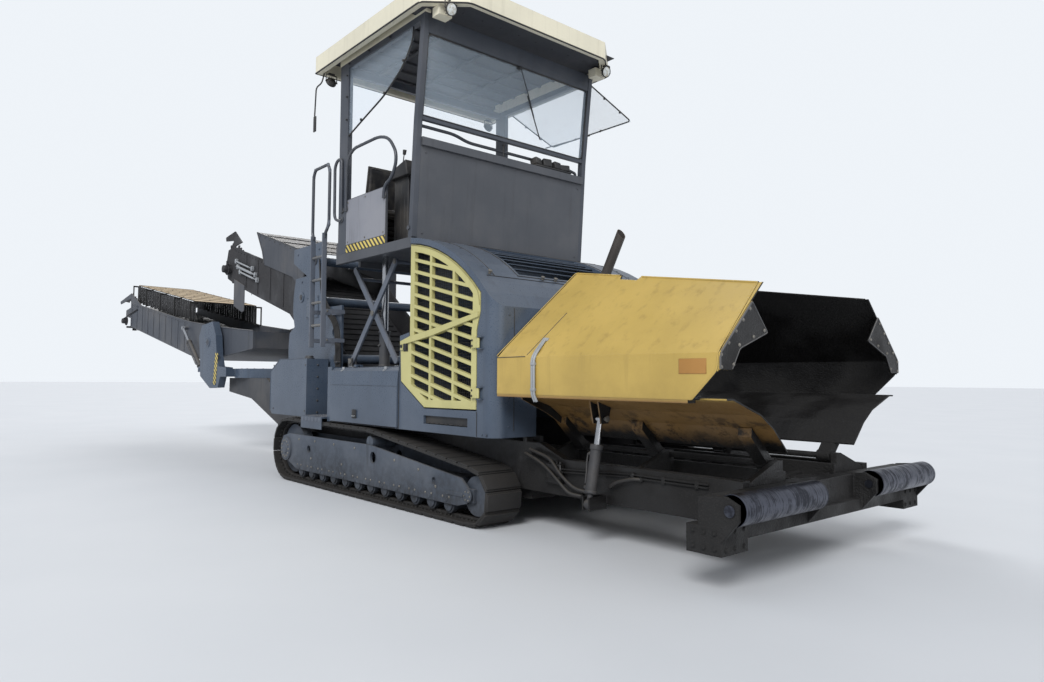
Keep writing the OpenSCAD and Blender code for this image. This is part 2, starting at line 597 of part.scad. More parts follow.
// Side cover of the battery bay, hinged at its top
module side_cover() color(slate) {
    side_plate([[cover_s0, cover_z0], [cover_s1, cover_z0], [cover_s1, 1240], [cover_s0, 1240]],
        -body_y - 22, -body_y + 20);
    cross_plate([[-body_y - 22, 1239], [-body_y - 8, 1400], [-body_y + 30, deck_z - 15], [-body_y + bay_d - 14, deck_z - 8],
        [-body_y + bay_d - 14, deck_z - 30], [-body_y + 45, deck_z - 40], [-body_y + 20, 1395], [-body_y + 10, 1239]],
        cover_s0, cover_s1);
    for (s = cover_hinge_s) difference() {
        union() {
            bar_x(-cover_hinge[0], cover_hinge[1], s, s + 60, hinge_r);
            block(s, s + 60, -body_y + bay_d - 50, -cover_hinge[0], cover_hinge[1] - 3, cover_hinge[1] + hinge_r);
            block(s, s + 60, -body_y + bay_d - 50, -body_y + bay_d - 20, deck_z - 9, cover_hinge[1]);
        }
        bar_x(-cover_hinge[0], cover_hinge[1], s - 1, s + 61, hinge_pin + gap);
    }
    // Latch
    block(4880, 4960, -body_y - 32, -body_y - 21, 880, 960);
}
module side_cover_right() on_machine() side_cover();
module side_cover_left() on_machine() left_side() side_cover();

// Tank box beside the rear tower, with its chamfered rear top corner and the step ahead of it
tank_s0 = 6230;
tank_s1 = 7360;
tank_y = 1035;      // inner face of the tank
module side_tank() color(slate) {
    side_plate([[tank_s0, 825], [tank_s1 - 60, 825], [tank_s1, 880], [tank_s1, 1400], [7060, 1560], [tank_s0, 1560]],
        -body_y, -tank_y);
    // Bearers to the tower's plates
    for (s = [6350, 6950]) block(s, s + 150, -tank_y - 1, -tower_y, 1150, 1450);
    // Step above the track, with its lip
    block(5660, tank_s0 + 1, -track_out - 12, -tower_y - 40, 830, 850);
    block(5660, tank_s0 + 1, -track_out - 12, -track_out - 4, 700, 831);
}
module side_tank_right() on_machine() side_tank();
module side_tank_left() on_machine() left_side() side_tank();

// Rear tower: two shaped plates with cross tubes that carry the main conveyor
tower_y = 1000;
tower_t = 30;
module tower_plate(y0) difference() {
    side_plate(concat([[5960, 1010], [5960, 2240], [6450, 2240], [6560, 3130], [6850, 3130], [7430, 3130], [7440, 2934],
        [7000, 2714]], arc([6350, 2300], 1080, 22, -4, 6), [[7370, 2030]],
        arc([6600, 1700], 960, 15, -12, 5), [[7250, 1010]]), y0, y0 + tower_t);
    bar_y(7150, 2430, y0 - 1, y0 + tower_t + 1, 45);
    bar_y(6150, 1900, y0 - 1, y0 + tower_t + 1, 60);
}
module rear_tower() color(slate) on_machine() {
    both_sides() {
        tower_plate(-tower_y);
        // Feet on the chassis beams
        block(6250, 7200, -tower_y, -beam_y + beam_t, 900, 1011);
        block(6400, 7100, -beam_y, -beam_y + beam_t, beam_z1, 901);
        // Bearers under the conveyor's frame
        side_plate([[6300, 1230], [7200, 1710], [7200, 1810], [6300, 1330]], -tower_y + tower_t - 1, -conv_y);
    }
    for (p = [[6080, 1560], [6750, 2900], [6680, 2350]]) bar_y(p[0], p[1], -tower_y + tower_t - 1, tower_y - tower_t + 1, 60);
}

// Ladder on the right of the tower, with the hand loop above it
ladder_s = [5880, 6200];
ladder_y = 1290;
rung_z = [1970, 2255, 2540, 2825];
foot_z = [1760, 2120];
rail_r = 18;
module ladder() color(grey) on_machine() {
    for (s = ladder_s) {
        block(s - 10, s + 10, -ladder_y - 30, -ladder_y + 30, 1700, 3110);
        for (z = foot_z) block(s - 10, s + 10, -ladder_y + 29, -tower_y - 20, z, z + 50);
    }
    for (z = foot_z) block(ladder_s[0] - 10, ladder_s[1] + 10, -tower_y - 30, -tower_y, z, z + 50);
    for (z = rung_z) bar_x(-ladder_y, z, ladder_s[0], ladder_s[1], 15);
    pipe([[ladder_s[1], -ladder_y, 3090], [ladder_s[1] + 20, -ladder_y, 3140], [ladder_s[1] + 20, -ladder_y, 3880],
        [ladder_s[1] - 30, -ladder_y, 3960], [ladder_s[0] - 60, -ladder_y, 3960], [ladder_s[0] - 110, -ladder_y, 3880],
        [ladder_s[0] - 110, -ladder_y, 3200], [ladder_s[0], -ladder_y, 3090]], rail_r);
}

// Main conveyor: level under the body, then rising to the head above the swivel axis
rise_tan = tan(conv_rise);
knee_s = head_s - (head_z - floor_belt_z) / rise_tan;
conv_low = 150;     // the frame's lower edge below the belt
conv_high = 330;    // the frame's upper edge above the belt
conv_t = 30;        // thickness of the side plates
pan_s1 = head_s - 900;      // rear end of the pan
function belt_z(s) = s < knee_s ? floor_belt_z : floor_belt_z + (s - knee_s) * rise_tan;
drum_r = 220;
module main_conveyor() color(dark) on_machine() {
    both_sides() {
        side_plate([[body_s0, floor_belt_z - conv_low], [knee_s + 60, floor_belt_z - conv_low],
            [head_s - 250, belt_z(head_s - 250) - 2 * drum_r - 50], [head_s + 150, head_z - 330], [head_s + 240, head_z - 60],
            [head_s + 150, head_z + 180], [head_s - 60, belt_z(head_s) + conv_high], [knee_s, floor_belt_z + conv_high],
            [body_s0, floor_belt_z + conv_high - 90]], -conv_y, -conv_y + conv_t);
        // Bearing housing of the head drum
        bar_y(head_s, head_z - drum_r, -conv_y - 60, -conv_y + 1, 90);
        // Tip arm above the drum
        side_plate([[head_s - 500, 3640], [head_s - 150, 3880], [head_s + 300, 3830], [head_s + 280, 3760],
            [head_s - 100, 3720], [head_s - 60, 3600]], -conv_y, -conv_y + 20);
    }
    // Pan under the belt's return run
    side_plate([[body_s0, floor_belt_z - conv_low], [knee_s + 40, floor_belt_z - conv_low],
        [pan_s1, belt_z(pan_s1) - 2 * drum_r - 10], [pan_s1, belt_z(pan_s1) - 2 * drum_r + 5],
        [knee_s + 38, floor_belt_z - conv_low + 15], [body_s0, floor_belt_z - conv_low + 15]],
        -conv_y + conv_t - 1, conv_y - conv_t + 1);
    // Drums inside the belt
    for (d = [[head_s, head_z, drum_r], [tail_s, floor_belt_z, tail_r]]) {
        bar_y(d[0], d[1] - d[2], -conv_y + conv_t - 1, conv_y - conv_t + 1, min(60, d[2] - 32));
        bar_y(d[0], d[1] - d[2], -belt_y, belt_y, d[2] * cos(11.25) - belt_t - seat);
    }
}
belt_t = 16;
tail_s = 2600;      // station of the front drum
tail_r = 62;
main_loop = concat(arc([tail_s, floor_belt_z - tail_r], tail_r, 270, 90, 8), [[knee_s, floor_belt_z]],
    arc([head_s, head_z - drum_r], drum_r, 90 + conv_rise, conv_rise - 90, 12), [[knee_s + 40, floor_belt_z - 2 * tail_r]]);
module main_belt() color(black) on_machine() difference() {
    side_plate(main_loop, -belt_y, belt_y);
    side_plate(inset(main_loop, -belt_t), -belt_y - 1, belt_y + 1);
}
// Hood over the conveyor's upper end: side sheets on legs, and the roof sheet
hood_s = [8180, 9460];
module head_hood() color(slate) on_machine() {
    both_sides() side_plate([[hood_s[0], belt_z(hood_s[0]) + conv_high - 60], [hood_s[0], 3300], [hood_s[1], 3720],
        [hood_s[1], 3550], [8420, 3190], [8420, belt_z(8420) + conv_high - 60]], -conv_y - 12, -conv_y);
    side_plate([[hood_s[0], 3290], [hood_s[1], 3710], [hood_s[1], 3722], [hood_s[0], 3302]], -conv_y - 12, conv_y + 12);
    // Chute between the head drum and the discharge conveyor
    both_sides() side_plate([[9960, 2720], [10450, 2960], [10450, 2560], [10050, 2420], [9960, 2440]], -conv_y - 12, -conv_y);
}

// Scissor lift and its rams
scissor_base = [5600, 1520];    // [station, height] of the lower rear pins
scissor_top = [4630, 2640];
scissor_front = [4630, 1520];
scissor_mid = (scissor_base + scissor_top) / 2;
scissor_y = 1040;
arm_t = 24;
arm_w = 76;
module arm_plate(a, b, y0, bore_a, bore_b) {
    d = b - a;
    translate([-a[0], y0 + arm_t, a[1]]) rotate([90, 0, 0]) rotate(atan2(d[1], -d[0])) linear_extrude(arm_t) difference() {
        union() {
            translate([0, -arm_w / 2]) square([norm(d), arm_w]);
            circle(r = arm_w / 2);
            translate([norm(d), 0]) circle(r = arm_w / 2);
        }
        if (bore_a > 0) circle(r = bore_a);
        if (bore_b > 0) translate([norm(d), 0]) circle(r = bore_b);
    }
}
arm_pin = 22;
module scissor_a() color(grey) on_machine() {
    both_sides() {
        difference() {
            arm_plate(scissor_base, scissor_top, -scissor_y, arm_pin + gap, 0);
            bar_y(scissor_mid[0], scissor_mid[1], -scissor_y - 1, -scissor_y + arm_t + 1, 5);
        }
        bar_y(scissor_mid[0], scissor_mid[1], -scissor_y, -scissor_y + 2 * arm_t + 10, arm_pin);
    }
    bar_y(scissor_top[0], scissor_top[1], -scissor_y + arm_t - 1, scissor_y - arm_t + 1, 20);
}
module scissor_b() color(grey) on_machine() {
    // Cross bar near the upper ends
    bar_y(scissor_base[0] - 98, scissor_top[1] - 113, -scissor_y + arm_t + 4, scissor_y - arm_t - 4, 20);
    both_sides() difference() {
        union() {
            arm_plate(scissor_front, scissor_mid, -scissor_y + arm_t + 3, 0, 0);
            arm_plate(scissor_mid, scissor_mid * 2 - scissor_front, -scissor_y + arm_t + 3, 0, 0);
        }
        bar_y(scissor_mid[0], scissor_mid[1], -scissor_y, -scissor_y + 3 * arm_t, arm_pin + gap);
    }
}
ram_s = 5060;
ram_y = 900;
ram_r = 40;         // radius of the rod
ram_out = 62;       // radius of the barrel
ram_z0 = 900;       // lower end of the barrel
ram_z1 = 1870;      // upper end of the barrel
module lift_barrels() color(dark) on_machine() both_sides() {
    difference() {
        translate([-ram_s, -ram_y, ram_z0]) cylinder(r = ram_out, h = ram_z1 - ram_z0);
        translate([-ram_s, -ram_y, ram_z0 + 25]) cylinder(r = ram_r + gap, h = ram_z1 - ram_z0);
    }
    // Pin blocks of the scissor's lower rear pins
    for (y = [-scissor_y - 24, -scissor_y + arm_t + 4]) block(scissor_base[0] - 45, scissor_base[0] + 45, y, y + 20, deck_z, scissor_base[1] + 40);
    bar_y(scissor_base[0], scissor_base[1], -scissor_y - 24, -scissor_y + arm_t + 24, arm_pin);
}
module lift_rods() color(steel) on_machine() both_sides()
    translate([-ram_s, -ram_y, ram_z1 - 130]) cylinder(r = ram_r, h = floor_z1 - 40 - ram_z1 + 130);

// Platform: floor frame, front wall with its ledge, side panel with the step edge
function front_s(z) = 3944 - (z < 4035 ? (z - 2796) * 0.0662 : 82 + (z - 4035) * 0.1106);
wall_t = 40;
module platform_floor() color(slate) on_machine() {
    block(front_s(floor_z0) + 10, cab_s1, -cab_y, cab_y, floor_z1 - 40, floor_z1);
    both_sides() block(front_s(floor_z0) + 10, cab_s1, -cab_y, -cab_y + 60, floor_z0, floor_z1 - 39);
    block(front_s(floor_z0) + 10, front_s(floor_z0) + 70, -cab_y, cab_y, floor_z0, floor_z1 - 39);
    block(cab_s1 - 60, cab_s1, -950, 950, floor_z0, floor_z1 - 39);
    side_plate([[front_s(2740), 2740], [front_s(wall_z1), wall_z1], [front_s(wall_z1) + wall_t, wall_z1],
        [front_s(2740) + wall_t, 2740]], -cab_y + 60, cab_y - 60);
    side_plate([[front_s(wall_z1) - 25, wall_z1 - 90], [front_s(wall_z1) - 25, wall_z1], [front_s(wall_z1) + 90, wall_z1 + 10],
        [front_s(wall_z1) + 90, wall_z1 - 15], [front_s(wall_z1) + 5, wall_z1 - 90]], -cab_y + 60, cab_y - 60);
    both_sides() {
        // Side panel under the guard hoop, and the rear kick plate
        block(4480, 5400, -cab_y, -cab_y + 25, floor_z1 - 1, 3440);
        block(5600, cab_s1, -cab_y, -cab_y + 500, floor_z1 - 1, 2950);
    }
}
post_t = 60;
module cab_frame() color(dark) on_machine() {
    both_sides() {
        side_plate([[front_s(2800), floor_z1], [front_s(4035), 4035], [front_s(roof_z0), roof_z0],
            [front_s(roof_z0) + 75, roof_z0], [front_s(4035) + 75, 4035], [front_s(2800) + 75, floor_z1]], -cab_y, -cab_y + post_t);
        block(5400, 5600, -cab_y, -cab_y + post_t, floor_z1, roof_z0);
        block(front_s(roof_z0) + 20, 5500, -cab_y, -cab_y + post_t, roof_z0 - 70, roof_z0);
    }
    // Hinge rail of the left window
    block(3870, 5390, cab_y - 1, window_hinge[0] + 12, roof_z0 - 30, roof_z0);
    for (s = [3880, 5350]) block(s, s + 30, window_hinge[0] - 12, window_hinge[0] + 12, roof_z0 - 15 , roof_z0 - 1);
    // Bars below and above the windscreen, and the rear header
    side_plate([[front_s(4035) + 5, 4035], [front_s(4035) + 5, 4075], [front_s(4035) + 50, 4075], [front_s(4035) + 50, 4035]],
        -cab_y + post_t - 1, cab_y - post_t + 1);
    side_plate([[front_s(4930) + 5, 4930], [front_s(roof_z0) + 5, roof_z0], [front_s(roof_z0) + 50, roof_z0],
        [front_s(4930) + 50, 4930]], -cab_y + post_t - 1, cab_y - post_t + 1);
    block(5520, 5580, -cab_y + post_t - 1, cab_y - post_t + 1, roof_z0 - 90, roof_z0);
}
glass_t = 10;
module cab_glass() color([0.7, 0.8, 0.85, 0.4]) on_machine() {
    // Windscreen
    side_plate([[front_s(4075) + 20, 4075 + seat], [front_s(4930) + 20, 4930 - seat],
        [front_s(4930) + 20 + glass_t, 4930 - seat], [front_s(4075) + 20 + glass_t, 4075 + seat]],
        -cab_y + post_t + seat, cab_y - post_t - seat);
    // Right side pane with its swept lower edge
    side_plate([[5400 - seat, 4230], [5060, 4340], [4600, 4480], [4250, 4660], [4110, 4780], [4000, 4930], [4000, roof_z0 - 70 - seat],
        [5400 - seat, roof_z0 - 70 - seat]], -cab_y + 20, -cab_y + 20 + glass_t);
    // Left side pane, swung out on its top edge
    translate([0, window_hinge[0], window_hinge[1]]) rotate([90 - window_open, 0, 0])
        translate([-5390, -glass_t / 2, -window_l]) cube([5390 - 3870, glass_t, window_l]);
}
window_hinge = [cab_y + 55, roof_z0 - 34.9];  // [width, height] of the left pane's top edge
window_open = 20;                   // the open pane's fall below the level
window_l = 880;
module cab_roof() color(cream) on_machine() {
    plan = [[-roof_s1, -roof_y], [-3620, -roof_y], [-roof_s0, -1000], [-roof_s0, 1000], [-3620, roof_y], [-roof_s1, roof_y]];
    difference() {
        translate([0, 0, roof_z0]) linear_extrude(roof_h) polygon(plan);
        // Hollow underside
        translate([0, 0, roof_z0 - 1]) linear_extrude(roof_h - 60) polygon([for (p = plan)
            [p[0] < -5000 ? p[0] + 60 : p[0] - 60, p[1] * 0.95]]);
    }
    // Crowned top
    translate([0, 0, roof_z0 + roof_h - 1]) linear_extrude(60) polygon([for (p = plan)
        [p[0] < -5000 ? p[0] + 160 : p[0] - 160, p[1] * 0.88]]);
    // Ribs that rest on the posts
    both_sides() block(3720, 5620, -cab_y, -cab_y + post_t, roof_z0, roof_z0 + roof_h - 60);
    // Work lamps under the front edge
    for (y = [-1150, 1150]) block(3520, 3640, y - 80, y + 80, roof_z0 - 100, roof_z0 + 1);
}
// Two seats with their side consoles
module seats() color(black) on_machine() both_sides() {
    block(4850, 5250, -1050, -650, floor_z1, 3180);
    block(4800, 5300, -1100, -600, 3179, 3300);
    side_plate([[5230, 3290], [5330, 3860], [5260, 3880], [5160, 3290]], -1080, -620);
    block(4350, 4650, -1050, -750, floor_z1, 3560);
    side_plate([[4300, 3559], [4700, 3559], [4660, 3660], [4340, 3740]], -1100, -700);
}
// Guard hoops and rails of the platform
hoop = [[4510, 3300], [4490, 3440], [4330, 3500], [4250, 3650], [4260, 4000], [4400, 4180], [4620, 4250], [5200, 4250],
    [5330, 4180], [5380, 4050], [5380, 3300]];
hand_loop = [[5500, 3200], [5672, 3250], [5680, 3900], [5610, 3970], [5504, 3960], [5490, 3300]];
rail_flat = rail_r * cos(18);   // from the tube's middle to its flats
module handrails() color(dark) on_machine() {
    both_sides() {
        pipe([for (p = hoop) [p[0], -cab_y - rail_flat - seat, p[1]]], rail_r);
        pipe([for (p = hand_loop) [p[0], -cab_y - rail_flat - seat, p[1]]], rail_r);
    }
    // Rail behind the windscreen
    pipe([[front_s(3950) + 96, -cab_y + 40, 3950], [front_s(4020) + 120, -cab_y + 90, 4010], [front_s(4020) + 120, -700, 4010],
        [front_s(3960) + 120, -500, 3960], [front_s(3960) + 120, 1000, 3960], [front_s(3960) + 100, cab_y - 80, 3920],
        [front_s(3960) + 100, cab_y - 80, wall_z1 + 10 + seat]], rail_r);
}

// Swivelling part, drawn in its own frame: L behind the swivel axis, then turned
arm_out = boom_y + 150;     // outer face of the yoke's arms
arm_in = boom_y + 30;
luff_pin_r = 50;
module swivelled() translate([-swivel_s, 0, 0]) rotate([0, 0, swivel_rest]) children();
luff_foot = [1440, 1450];   // [L, height] of the cylinder's foot pin
luff_eye = [2340, 2250];
luff_cyl_y = boom_y + 90;
luff_cyl_l = norm(luff_eye - luff_foot);
luff_cyl_a = atan2(luff_eye[1] - luff_foot[1], luff_eye[0] - luff_foot[0]);
module swivel_yoke() color(slate) on_machine() swivelled() {
    difference() {
        translate([0, 0, rear_z1 + seat]) cylinder(r = rear_y + 80, h = table_z - rear_z1, $fn = 96);
        translate([0, 0, rear_z1 - 1]) cylinder(r = 300, h = table_z - rear_z1 + 3);
    }
    both_sides() {
        difference() {
            side_plate([[240, rear_z1 + 20], [480, rear_z1 + 20], [560, 1130], [900, 1115], [1330, 1330], [1350, 1600],
                [1420, 2050], [1300, 2250], [850, 2300], [700, 2050], [640, 1700], [560, table_z + 40], [240, table_z + 20]],
                -arm_out, -arm_in);
            bar_y(luff_l, luff_z, -arm_out - 1, -arm_in + 1, luff_pin_r + gap);
        }
        // Shoulder from the table to the arm
        block(240, 640, -arm_in - 1, -500, rear_z1 + 20, table_z);
        // Ears and pin of the luffing cylinder's foot
        for (y = [-luff_cyl_y - foot_w / 2 - 2 - ear_t, -luff_cyl_y + foot_w / 2 + 2])
            block(1300, luff_foot[0] + 45, y, y + ear_t, luff_foot[1] - 50, luff_foot[1] + 50);
        bar_y(luff_foot[0], luff_foot[1], -luff_cyl_y - foot_w / 2 - 2 - ear_t, -luff_cyl_y + foot_w / 2 + 2 + ear_t, pin_r);
    }
}
module along_luff_cyl() translate([-luff_foot[0], -luff_cyl_y, luff_foot[1]]) rotate([0, luff_cyl_a - 90, 0])
    rotate([0, 0, 90]) children();
luff_rod_r = 24;
module luff_barrels() color(dark) on_machine() swivelled() both_sides() along_luff_cyl() {
    difference() {
        translate([0, 0, foot_l]) cylinder(r = 42, h = 800 - foot_l);
        translate([0, 0, foot_l + 10]) cylinder(r = luff_rod_r + gap, h = 800);
    }
    foot(38, pin_r + gap, foot_l + 1);
}
module luff_rods() color(steel) on_machine() swivelled() both_sides() along_luff_cyl() {
    translate([0, 0, 500]) cylinder(r = luff_rod_r, h = luff_cyl_l - 500);
    translate([0, 0, luff_cyl_l]) foot(36, 0);
}
// Discharge conveyor: side plates, belly, drum and tip arms; [L, height]
boom_t = 30;
boom_form = [[-430, 2080], [900, 2200], [2300, 2364], [boom_l - 250, 2963], [boom_l - 250, 2446], [2250, 1746],
    [1500, 1620], [600, 1700], [-430, 1800]];
boom_drum_z = 2740;
boom_drum_r = 175;
module boom_frame() color(grey) on_machine() swivelled() {
    both_sides() {
        side_plate(boom_form, -boom_y, -boom_y + boom_t);
        bar_y(luff_l, luff_z, -arm_out - 10, -boom_y + 1, luff_pin_r);
        // Stub of the cylinder's eye
        bar_y(luff_eye[0], luff_eye[1], -luff_cyl_y + foot_w / 2 + 8, -boom_y + 1, 30);
        // Drum arm and tip arm
        side_plate([[boom_l - 260, 2620], [boom_l - 260, 2860], [boom_l + 60, boom_drum_z + 70], [boom_l + 60, boom_drum_z - 70]],
            -boom_y, -boom_y + boom_t);
        side_plate([[boom_l - 900, 2870], [boom_l - 260, 3180], [boom_l + 480, 3040], [boom_l + 460, 2980], [boom_l - 230, 3060],
            [boom_l - 260, 2950]], -boom_y, -boom_y + 20);
    }
    // Belly and tail plates
    side_plate([[-430, 1800], [600, 1700], [1500, 1620], [2250, 1746], [boom_l - 300, 2436], [boom_l - 300, 2450], [2250, 1760],
        [1500, 1634], [600, 1714], [-430, 1814]], -boom_y + boom_t - 1, boom_y - boom_t + 1);
    block(-430, -415, -boom_y + boom_t - 1, boom_y - boom_t + 1, 1800, 2080);
    for (d = [[boom_l, boom_drum_z, boom_drum_r], [boom_tail[0], boom_tail[1], boom_tail_r]]) {
        bar_y(d[0], d[1], -boom_y + boom_t - 1, boom_y - boom_t + 1, 50);
        bar_y(d[0], d[1], -belt_y, belt_y, d[2] * cos(11.25) - belt_t - seat);
    }
}
boom_tail = [-240, 1930];   // [L, height] of the tail drum
boom_tail_r = 95;
boom_loop = concat(arc(boom_tail, boom_tail_r, 268, 88, 8), [[1500, 1960]],
    arc([boom_l, boom_drum_z], boom_drum_r, 100, -80, 12), [[1700, 1790], [1300, 1770]]);
module boom_belt() color(black) on_machine() swivelled() difference() {
    side_plate(boom_loop, -belt_y, belt_y);
    side_plate(inset(boom_loop, -belt_t), -belt_y - 1, belt_y + 1);
}
// Cover over the belt: a shallow roof on hoops that stand on the side plates
cover_l = [2320, 5600];
function boom_top(l) = 2364 + (l - 2300) * (2963 - 2364) / (boom_l - 250 - 2300);
module boom_cover() color([0.6, 0.52, 0.38]) on_machine() swivelled() {
    side_plate([[cover_l[0], boom_top(cover_l[0]) + 400], [cover_l[1], boom_top(cover_l[1]) + 400],
        [cover_l[1], boom_top(cover_l[1]) + 412], [cover_l[0], boom_top(cover_l[0]) + 412]], -belt_y, belt_y);
    both_sides() for (l = [cover_l[0] : (cover_l[1] - cover_l[0] - 30) / 4 : cover_l[1]]) {
        block(l, l + 30, -boom_y + 20 + seat, -boom_y + 38, boom_top(l + 30) + seat, boom_top(l) + 380);
        block(l, l + 30, -boom_y + 20 + seat, -belt_y + 20, boom_top(l) + 370, boom_top(l) + 400 - seat);
    }
}

main_frame();
track_right();
track_left();
track_frame_right();
track_frame_left();
push_beam();
push_roller_right();
push_roller_left();
hopper_floor();
wing_right();
wing_left();
wing_barrel_right();
wing_barrel_left();
wing_rod_right();
wing_rod_left();
engine_body();
engine_block();
grille_door_right();
grille_door_left();
exhaust_pipe();
side_cover_right();
side_cover_left();
side_tank_right();
side_tank_left();
rear_tower();
ladder();
main_conveyor();
main_belt();
head_hood();
scissor_a();
scissor_b();
lift_barrels();
lift_rods();
platform_floor();
cab_frame();
cab_glass();
cab_roof();
seats();
handrails();
swivel_yoke();
luff_barrels();
luff_rods();
boom_frame();
boom_belt();
boom_cover();
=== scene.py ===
import math
import bmesh
import bpy
from mathutils import Matrix, Vector


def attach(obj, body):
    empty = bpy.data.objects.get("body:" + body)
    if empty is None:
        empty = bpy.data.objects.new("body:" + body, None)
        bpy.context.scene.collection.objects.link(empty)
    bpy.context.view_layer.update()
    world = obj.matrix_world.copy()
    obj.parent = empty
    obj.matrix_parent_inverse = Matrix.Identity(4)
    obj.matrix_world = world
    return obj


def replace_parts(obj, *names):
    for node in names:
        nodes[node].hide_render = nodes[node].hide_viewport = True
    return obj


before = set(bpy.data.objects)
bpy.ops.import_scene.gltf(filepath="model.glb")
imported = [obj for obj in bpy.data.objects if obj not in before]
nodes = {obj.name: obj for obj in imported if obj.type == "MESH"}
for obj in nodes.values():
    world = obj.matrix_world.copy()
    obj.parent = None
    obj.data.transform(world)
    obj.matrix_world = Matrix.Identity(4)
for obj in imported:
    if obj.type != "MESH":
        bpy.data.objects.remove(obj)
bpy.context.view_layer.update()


# ---- Camera: low at the right front corner, as in the photograph -----------------------------
# The eye is 1.34 m above the ground, ahead of the machine and to its right.
# It looks back along the machine, slightly upward and tilted by a third of a degree.
scene = bpy.context.scene
show = scene.collection.objects.link
yaw, pitch, roll = math.radians(40.88), math.radians(2.84), math.radians(0.36)
level = Vector((-math.cos(yaw), math.sin(yaw), 0))
across = Vector((math.sin(yaw), math.cos(yaw), 0))
ahead = level * math.cos(pitch) + Vector((0, 0, math.sin(pitch)))
above = -level * math.sin(pitch) + Vector((0, 0, math.cos(pitch)))
right = across * math.cos(roll) + above * math.sin(roll)
up = -across * math.sin(roll) + above * math.cos(roll)
camera = bpy.data.objects.new("camera", bpy.data.cameras.new("camera"))
show(camera)
camera.data.lens = 25.42
camera.data.sensor_width = 36
camera.data.clip_end = 400
facing = Matrix((right, up, -ahead)).transposed().to_4x4()
camera.matrix_world = Matrix.Translation((10.822, -5.678, 1.337)) @ facing
scene.camera = camera


# ---- Studio: pale floor, pale surroundings, one soft key light with two weaker ones ----------
# Even light from all round, on a plain floor sheet that lies just below the tracks. The
# functions here make one shader node at a time; every later finish uses them.
def add(tree, kind, inputs=(), out=0, **settings):
    made = tree.nodes.new("ShaderNode" + kind)
    for key, value in settings.items():
        setattr(made, key, value)
    for key, value in dict(inputs).items():
        if isinstance(value, bpy.types.NodeSocket):
            tree.links.new(value, made.inputs[key])
        else:
            made.inputs[key].default_value = value
    return made.outputs[out]


def sum_of(tree, a, b, what="ADD", limit=False):
    return add(tree, "Math", {0: a, 1: b}, operation=what, use_clamp=limit)


def times(tree, a, b, limit=False):
    return sum_of(tree, a, b, "MULTIPLY", limit)


def larger(tree, a, b, limit=False):
    return sum_of(tree, a, b, "MAXIMUM", limit)


def share_of(tree, value, low, high, to_low=0.0, to_high=1.0):
    return add(tree, "MapRange", {0: value, 1: low, 2: high, 3: to_low, 4: to_high}, interpolation_type="SMOOTHSTEP")


def mixed(tree, share, a, b):
    return add(tree, "Mix", {0: share, 6: a, 7: b}, 2, data_type="RGBA")


def noise(tree, place, scale, detail, rough=0.5):
    return add(tree, "TexNoise", {"Vector": place, "Scale": scale, "Detail": detail, "Roughness": rough}, "Fac")


def rgb(red, green, blue):
    """A colour written as it looks on screen, 0 to 255."""
    shares = (v / 255 for v in (red, green, blue))
    return tuple(v / 12.92 if v < 0.0404 else ((v + 0.055) / 1.055) ** 2.4 for v in shares) + (1,)


def blank(name):
    """A new material, its node tree and its main shader."""
    made = bpy.data.materials.new(name)
    made.use_nodes = True
    return made, made.node_tree, made.node_tree.nodes["Principled BSDF"]


scene.view_settings.view_transform = "Standard"
world = bpy.data.worlds.new("studio")
scene.world = world
world.use_nodes = True
tree = world.node_tree
tree.nodes.clear()
path = tree.nodes.new("ShaderNodeLightPath")
seen = larger(tree, path.outputs["Is Camera Ray"], path.outputs["Is Transmission Ray"])
glow = add(tree, "Background", {0: (0.90, 0.94, 1.0, 1), 1: 0.62})
sky = add(tree, "Background", {0: (0.86, 0.90, 0.945, 1), 1: 1.0})
mix = tree.nodes.new("ShaderNodeMixShader")
for value, place in ((seen, 0), (glow, 1), (sky, 2)):
    tree.links.new(value, mix.inputs[place])
tree.links.new(mix.outputs[0], tree.nodes.new("ShaderNodeOutputWorld").inputs[0])

for name, strength, toward, spread in (("key", 2.3, (-0.42, 0.66, -0.62), 24),
        ("back", 0.9, (0.75, -0.35, -0.55), 30), ("front", 0.55, (-0.95, -0.1, -0.25), 50)):
    lamp = bpy.data.objects.new(name, bpy.data.lights.new(name, "SUN"))
    show(lamp)
    lamp.data.energy = strength
    lamp.data.angle = math.radians(spread)
    lamp.rotation_euler = Vector(toward).to_track_quat("-Z", "Y").to_euler()

mesh = bpy.data.meshes.new("floor")
sheet = bmesh.new()
bmesh.ops.create_circle(sheet, cap_ends=True, radius=150, segments=64)
sheet.to_mesh(mesh)
sheet.free()
floor = bpy.data.objects.new("floor", mesh)
floor.location = (0, 0, -0.004)
show(floor)
ground, tree, shader = blank("studio_floor")
grain = noise(tree, add(tree, "TexCoord", out="Object"), 0.6, 6)
tree.links.new(mixed(tree, grain, rgb(196, 199, 203), rgb(206, 208, 211)), shader.inputs["Base Color"])
shader.inputs["Roughness"].default_value = 0.8
floor.data.materials.append(ground)


# ---- Weathering: edge wear, rain streaks, dust and grime, shared by all painted pieces -------
# Paint on such a machine is worn to dark primer on its edges, dusty on top and greasy low down.
def group(name, **inputs):
    made = bpy.data.node_groups.new(name, "ShaderNodeTree")
    for label, value in inputs.items():
        kind = "NodeSocketColor" if isinstance(value, tuple) else "NodeSocketFloat"
        made.interface.new_socket(label, in_out="INPUT", socket_type=kind).default_value = value
    for label, kind in (("Colour", "Color"), ("Roughness", "Float"), ("Normal", "Vector")):
        made.interface.new_socket(label, in_out="OUTPUT", socket_type="NodeSocket" + kind)
    return made, made.nodes.new("NodeGroupInput").outputs, made.nodes.new("NodeGroupOutput").inputs


